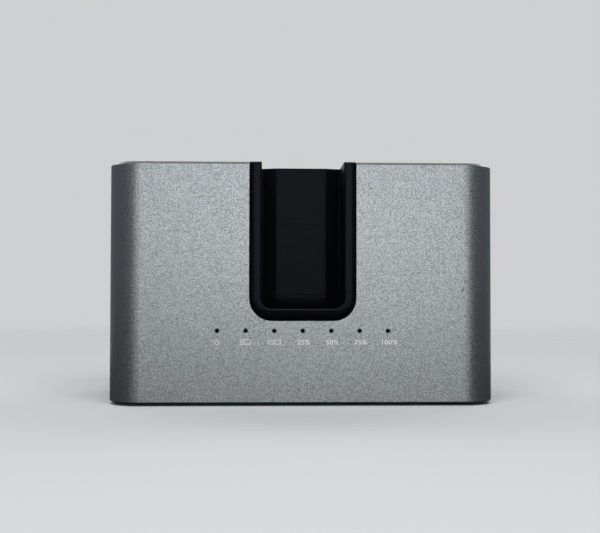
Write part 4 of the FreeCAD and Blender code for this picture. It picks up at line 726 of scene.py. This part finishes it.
# Screws: pan heads with a cross recess. Four long black zinc ones clamp base and deck on the sleeve,
# four short ones hold the bay under the deck, and four bright ones hold the main board.
TIE_PLACES = [(x, y) for x in (-0.057, 0.057) for y in (-0.024, 0.024)]
BAY_PLACES = [(x, y) for x in (-0.05685, 0.05685) for y in (0.0005, 0.0135)]
BOARD_PLACES = [(x, y) for x in (-0.0485, 0.0485) for y in (-0.022, 0.013)]
TIE_SEAT = 0.0034
BAY_SEAT = 0.0730
BOARD_TOP = 0.0086
TIE_SIZES = {"head_radius": 0.0027, "head_height": 0.0015, "shank_radius": 0.0015, "length": 0.0728}
BAY_SIZES = {"head_radius": 0.0023, "head_height": 0.0014, "shank_radius": 0.00125, "length": 0.0062}
BOARD_SIZES = {"head_radius": 0.0022, "head_height": 0.0012, "shank_radius": 0.00125, "length": 0.0040}
TIP_LENGTH = 0.0006
RIM_SHARE = 0.45
RECESS_TOP = (0.62, 0.155, 1.2)
RECESS_FOOT = (0.26, 0.09, 0.18)
FIRST_TURN = 0.37
NEXT_TURN = 1.1


def lathe(shape, profile, steps=28):
    """Turns a profile of radii and heights about the Z axis; it starts and ends on the axis."""
    rings = []
    for radius, height in profile:
        turns = [2 * math.pi * i / steps for i in range(steps if radius else 1)]
        rings.append([shape.verts.new((radius * math.cos(a), radius * math.sin(a), height)) for a in turns])
    for first, second in zip(rings, rings[1:]):
        for i in range(steps):
            near = [ring[i % len(ring)] for ring in (first, second)]
            far = [ring[(i + 1) % len(ring)] for ring in (first, second)]
            shape.faces.new(dict.fromkeys((near[0], far[0], far[1], near[1])))


def cross_screw(head_radius, head_height, shank_radius, length):
    """A screw with its head on top of the seat at height 0 and its shank below, cut with a cross recess."""
    shape = bmesh.new()
    dome = []
    for a in (1.25, 1.0, 0.7, 0.35, 0.0):
        dome.append((head_radius * math.cos(a), head_height * (RIM_SHARE + (1.0 - RIM_SHARE) * math.sin(a))))
    shank = [(shank_radius, 0.0), (shank_radius, TIP_LENGTH - length)]
    tip = [(0.55 * shank_radius, -length), (0.0, -length)]
    lathe(shape, [(0.0, head_height)] + dome + [(head_radius, 0.0)] + shank + tip)
    bmesh.ops.recalc_face_normals(shape, faces=shape.faces)
    whole = bpy.data.meshes.new("screw")
    shape.to_mesh(whole)
    shape.free()
    screw = link_into_scene(bpy.data.objects.new("screw", whole))
    cutters = []
    for turn in (0.0, 0.5 * math.pi):
        shape = bmesh.new()
        bmesh.ops.create_cube(shape, size=1.0)
        for corner in shape.verts:
            reach, breadth, height = RECESS_TOP if corner.co.z > 0 else RECESS_FOOT
            corner.co = Vector((math.copysign(reach * head_radius, corner.co.x),
                                math.copysign(breadth * head_radius, corner.co.y), height * head_height))
        bmesh.ops.rotate(shape, verts=shape.verts, matrix=Matrix.Rotation(turn, 3, "Z"))
        mesh = bpy.data.meshes.new("recess")
        shape.to_mesh(mesh)
        shape.free()
        cutters.append(link_into_scene(bpy.data.objects.new("recess", mesh)))
        cut = screw.modifiers.new("recess", "BOOLEAN")
        cut.operation = "DIFFERENCE"
        cut.solver = "EXACT"
        cut.object = cutters[-1]
    bpy.context.view_layer.update()
    made = bpy.data.meshes.new_from_object(screw.evaluated_get(bpy.context.evaluated_depsgraph_get()))
    for spent in [screw] + cutters:
        bpy.data.objects.remove(spent)
    return made


def screw_set(name, node, material, places, seat, way, sizes):
    """Screws at their places in one piece that stands for a CAD node; way is where the heads point."""
    one = cross_screw(**sizes)
    shape = bmesh.new()
    for i, (x, y) in enumerate(places):
        copy = one.copy()
        turn = Matrix.Rotation(FIRST_TURN + NEXT_TURN * i, 4, "Z")
        tip_over = Matrix.Rotation(0.0 if way > 0 else math.pi, 4, "X")
        copy.transform(Matrix.Translation((x, y, seat)) @ (tip_over @ turn))
        shape.from_mesh(copy)
    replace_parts(new_piece(name, shape, material, "dock", smooth=True), node)


black_zinc = metal("black_zinc", (0.09, 0.09, 0.095, 1.0), 0.36)
bright_zinc = metal("bright_zinc", (0.52, 0.53, 0.55, 1.0), 0.30)
screw_set("tie_screw_set", "tie_screws", black_zinc, TIE_PLACES, TIE_SEAT, -1, TIE_SIZES)
screw_set("bay_screw_set", "bay_screws", black_zinc, BAY_PLACES, BAY_SEAT, -1, BAY_SIZES)
screw_set("board_screw_set", "board_screws", bright_zinc, BOARD_PLACES, BOARD_TOP, 1,
          BOARD_SIZES)

# Circuit boards: glass-fibre laminate with green solder mask over copper tracks and tinned vias, bare
# and tan at its cut edges. The main board lies on the base; the riser and light board stand on it.
MASK_GREEN = (0.006, 0.045, 0.022, 1.0)
TRACK_GREEN = (0.014, 0.088, 0.045, 1.0)
LAMINATE = (0.30, 0.26, 0.13, 1.0)
TIN = (0.55, 0.55, 0.52, 1.0)
TRACK_HEIGHT = 0.00003


def track_group():
    """Tracks that run straight and at 45 degrees, and the vias between them."""
    tree, entry, leave = new_group("board_tracks", {"Pitch": 0.0035}, ("Track", "Via"))
    spot = place_on(tree)
    rate = math_node(tree, "DIVIDE", 1.0, entry.outputs["Pitch"])
    cells = put(tree, "ShaderNodeTexVoronoi", {"distance": "MANHATTAN"}, Vector=spot, Scale=rate)
    rings = math_node(tree, "FRACT", math_node(tree, "MULTIPLY", cells.outputs["Distance"], 5.0))
    tree.links.new(ramp(tree, rings, 0.52, 0.60), leave.inputs["Track"])
    dots = put(tree, "ShaderNodeTexVoronoi", Vector=spot, Scale=math_node(tree, "MULTIPLY", rate, 1.3))
    tree.links.new(ramp(tree, dots.outputs["Distance"], 0.13, 0.10), leave.inputs["Via"])
    return tree


TRACKS = track_group()


def laminate(name, thin_axis):
    """The material of a board that is thin along one axis."""
    made, tree, shader = new_material(name, roughness=0.33)
    tracks = put(tree, "ShaderNodeGroup", {"node_tree": TRACKS})
    facing = split(tree, place_on(tree, "Normal"))
    edge = ramp(tree, math_node(tree, "ABSOLUTE", facing[thin_axis]), 0.8, 0.5)
    grain = put(tree, "ShaderNodeGroup", {"node_tree": GRAIN}, Size=0.0004, Tint=0.25)
    face = mix_colour(tree, tracks.outputs["Track"], MASK_GREEN, TRACK_GREEN)
    face = mix_colour(tree, tracks.outputs["Via"], face, TIN)
    colour = mix_colour(tree, edge, face, LAMINATE)
    shade = vector_math(tree, "SCALE", _0=colour, Scale=grain.outputs["Tint"])
    tree.links.new(shade, shader.inputs["Base Color"])
    bump = put(tree, "ShaderNodeBump", Distance=TRACK_HEIGHT, Height=tracks.outputs["Track"])
    tree.links.new(bump.outputs["Normal"], shader.inputs["Normal"])
    return made


wear(laminate("lying_laminate", "Z"), "main_board")
wear(laminate("standing_laminate", "Y"), "riser_board", "led_board")

# Sockets and headers: glass-filled black nylon bodies soldered to the boards, with stamped contacts
# of gold-plated phosphor bronze.
nylon = moulding("connector_nylon", (0.011, 0.011, 0.011, 1.0), 0.42, 0.42, dust=0.05, size=0.00022)
wear(nylon, "board_headers", "m2_socket", "sata_socket", "clone_switch")
gold = metal("gold_plate", (0.83, 0.60, 0.24, 1.0), 0.25, width=0.00003)
wear(gold, "m2_contacts", "sata_contacts")

# Chips: blocks of moulded black epoxy, soldered flat on the main board. The bridge chip carries a
# soft grey-blue pad and on it a black anodised fin block.
epoxy = moulding("chip_epoxy", (0.014, 0.014, 0.015, 1.0), 0.38, 0.45, dust=0.03, size=0.00012,
                 depth=0.000004)
wear(epoxy, "bridge_chip", "controller_chip")
pad_silicone, tree, shader = new_material("pad_silicone", roughness=0.75, specular=0.25)
finish(tree, shader, (0.27, 0.32, 0.40, 1.0), size=0.0004, tint=0.25, depth=0.00002, cloud=0.1)
wear(pad_silicone, "thermal_pad")
fin_black = metal("fin_anodising", (0.045, 0.045, 0.048, 1.0), 0.42, width=0.00010, length=0.02)
wear(fin_black, "heat_sink")

# Small parts of the board: chip capacitors of tan ceramic and chip resistors with a black glaze, all
# with tinned ends, reflow-soldered wherever the main board is free of larger parts.
CHIP_SEED = 11
CHIP_COUNT = 84
CHIP_LENGTH = 0.0016
CHIP_WIDTH = 0.0008
CHIP_HEIGHT = 0.0005
CHIP_END = 0.0003
CHIP_MARGIN = 0.0007
CHIP_SPACING = 0.0024
TIN_FILM = 0.00003
TIN_ROUND = 0.00004
RAY_LIFT = 0.0001


def slab(shape, low, high, round_off=0.0):
    """A block between two corners, with its edges rounded off."""
    low, high = Vector(low), Vector(high)
    made = bmesh.ops.create_cube(shape, size=1.0)["verts"]
    for corner in made:
        corner.co = Vector((low[i] + (corner.co[i] + 0.5) * (high[i] - low[i]) for i in range(3)))
    if round_off:
        edges = list({edge for corner in made for edge in corner.link_edges})
        bmesh.ops.bevel(shape, geom=edges, offset=round_off, segments=2, profile=0.5, affect="EDGES")


def is_free(x, y, half_x, half_y):
    """True where the bare top of the main board lies under a footprint, with nothing standing on it."""
    graph = bpy.context.evaluated_depsgraph_get()
    for u in (-1, 0, 1):
        for v in (-1, 0, 1):
            spot = Vector((x + u * half_x, y + v * half_y, BOARD_TOP + RAY_LIFT))
            above = bpy.context.scene.ray_cast(graph, spot, (0, 0, 1))
            below = bpy.context.scene.ray_cast(graph, spot, (0, 0, -1), distance=2 * RAY_LIFT)
            inside = above[0] and above[2].z > 0
            if inside or not below[0] or below[4] != NODES["main_board"]:
                return False
    return True


random.seed(CHIP_SEED)
board_low, board_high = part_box("main_board")
kinds = {"chip_capacitors": bmesh.new(), "chip_resistors": bmesh.new(), "chip_ends": bmesh.new()}
placed = []
while len(placed) < CHIP_COUNT:
    spot = Vector([round(random.uniform(board_low[i], board_high[i]), 4) for i in (0, 1)])
    kind = random.choice(("chip_capacitors", "chip_resistors"))
    along = random.choice((0, 1))
    half = Vector((0.5 * CHIP_WIDTH, 0.5 * CHIP_WIDTH))
    half[along] = 0.5 * CHIP_LENGTH
    crowded = any((spot - other).length < CHIP_SPACING for other in placed)
    if crowded or not is_free(spot.x, spot.y, half.x + CHIP_MARGIN, half.y + CHIP_MARGIN):
        continue
    placed.append(spot)
    low = Vector((*(spot - half), BOARD_TOP))
    high = Vector((*(spot + half), BOARD_TOP + CHIP_HEIGHT))
    body_low, body_high = low.copy(), high.copy()
    body_low[along] += CHIP_END
    body_high[along] -= CHIP_END
    slab(kinds[kind], body_low, body_high)
    for end in (0, 1):
        end_low, end_high = low.copy(), high.copy()
        end_low[1 - along] -= TIN_FILM
        end_high[1 - along] += TIN_FILM
        end_high.z += TIN_FILM
        if end:
            end_low[along] = high[along] - CHIP_END
        else:
            end_high[along] = low[along] + CHIP_END
        slab(kinds["chip_ends"], end_low, end_high, TIN_ROUND)

ceramic = moulding("chip_ceramic", (0.17, 0.115, 0.07, 1.0), 0.45, 0.45, dust=0.02, size=0.00015, rubbed=None)
solder = metal("reflowed_tin", (0.58, 0.58, 0.56, 1.0), 0.30, width=0.00005)
new_piece("chip_capacitors", kinds["chip_capacitors"], ceramic, "dock")
new_piece("chip_resistors", kinds["chip_resistors"], epoxy, "dock")
new_piece("chip_ends", kinds["chip_ends"], solder, "dock")

# Power parts: coils pressed into blocks of ferrite powder, capacitors in bare drawn cans and the
# sealed can of the crystal, all soldered to the main board.
ferrite = moulding("ferrite_powder", (0.045, 0.045, 0.048, 1.0), 0.60, 0.35, dust=0.03, size=0.00025)
wear(ferrite, "power_inductors")
can = metal("drawn_can", (0.72, 0.72, 0.73, 1.0), 0.24, width=0.00012)
wear(can, "capacitors")
crystal_can = metal("crystal_can", (0.66, 0.65, 0.62, 1.0), 0.22, width=0.00008)
wear(crystal_can, "crystal")

# USB-C port: a nickel-plated shell drawn in one piece, and a nylon core whose tongue carries twelve
# gold contacts on each face.
TONGUE_FACES = ((0.00988, -1), (0.01058, 1))
TONGUE_Y = (0.0291, 0.0325)
FINGER_COUNT = 12
FINGER_PITCH = 0.0005
FINGER_WIDTH = 0.00028
FINGER_PROUD = 0.00003
FINGER_ROUND = 0.00001
nickel = metal("nickel_plate", (0.62, 0.61, 0.59, 1.0), 0.22, width=0.00010)
wear(nickel, "usb_c_shell", "dc_pin")
core_nylon = moulding("core_nylon", (0.010, 0.010, 0.010, 1.0), 0.45, 0.40, size=0.0002)
wear(core_nylon, "usb_c_core")
shape = bmesh.new()
for face, way in TONGUE_FACES:
    low, high = sorted((face - way * FINGER_PROUD, face + way * FINGER_PROUD))
    for i in range(FINGER_COUNT):
        x = (i - 0.5 * (FINGER_COUNT - 1)) * FINGER_PITCH
        left, right = x - 0.5 * FINGER_WIDTH, x + 0.5 * FINGER_WIDTH
        slab(shape, (left, TONGUE_Y[0], low), (right, TONGUE_Y[1], high), FINGER_ROUND)
new_piece("usb_c_fingers", shape, gold, "dock")

# Power jack: a nylon block with a round bore, a nickel-plated centre pin and a sprung side contact
# that presses on the plug's barrel.
JACK_X = 0.026
JACK_Z = 0.0151
LEAF_BOW = ((0.0224, 0.00305), (0.0245, 0.00250), (0.0266, 0.00222), (0.0284, 0.00240), (0.0300, 0.00295))
LEAF_HALF_WIDTH = 0.0008
LEAF_THICKNESS = 0.0002
jack_nylon = moulding("jack_nylon", (0.012, 0.012, 0.012, 1.0), 0.40, 0.42, size=0.00025)
wear(jack_nylon, "dc_inlet")
shape = bmesh.new()
rows = []
for y, drop in LEAF_BOW:
    left, right = JACK_X - LEAF_HALF_WIDTH, JACK_X + LEAF_HALF_WIDTH
    foot, top = JACK_Z - drop, JACK_Z - drop + LEAF_THICKNESS
    corners = ((left, foot), (right, foot), (right, top), (left, top))
    rows.append([shape.verts.new((x, y, z)) for x, z in corners])
skin(shape, rows)
new_piece("jack_spring_contact", shape, nickel, "dock", smooth=True)

# Power switch: a snap-in rocker switch in satin black nylon with tinned legs. The rocker carries the
# usual printed bar and ring, and tilts about its pins.
RING_PLACE = (0.0419, 0.03459, 0.0156)
RING_RADIUS = 0.0011
RING_LINE = 0.00030
BAR_PLACE = (0.04682, 0.035298, 0.0156)
BAR_HALF = 0.0011
BAR_LINE = 0.00034
ROCKER_SLOPE = (0.28, 0.96)
switch_nylon = moulding("switch_nylon", (0.012, 0.012, 0.0125, 1.0), 0.30, 0.48, size=0.0003)
wear(switch_nylon, "switch_housing", "power_rocker", "clone_button")
tinned = metal("tinned_leg", (0.60, 0.60, 0.59, 1.0), 0.34)
wear(tinned, "switch_legs")
shape = bmesh.new()
turns = [a / 12 * math.pi for a in range(24)]
ring = [(RING_RADIUS * math.cos(turn), RING_RADIUS * math.sin(turn)) for turn in turns]
ribbon(shape, print_plane(*RING_PLACE, 1), ring, RING_LINE, closed=True)
tilt = Matrix.Rotation(math.atan2(*ROCKER_SLOPE), 4, "Z")
plane = Matrix.Translation(BAR_PLACE) @ tilt @ print_plane(0.0, 0.0, 0.0, 1)
ribbon(shape, plane, ((0.0, -BAR_HALF), (0.0, BAR_HALF)), BAR_LINE)
new_piece("rocker_marks", shape, ink, "rocker")

# Copy button: a domed cap in the switch's nylon, held behind the back wall by its flange. Its pale
# nylon plunger presses a small switch on the main board.
plunger_nylon = moulding("plunger_nylon", (0.32, 0.32, 0.31, 1.0), 0.40, 0.42, rubbed=(0.4, 0.4, 0.39, 1.0))
wear(plunger_nylon, "clone_plunger")
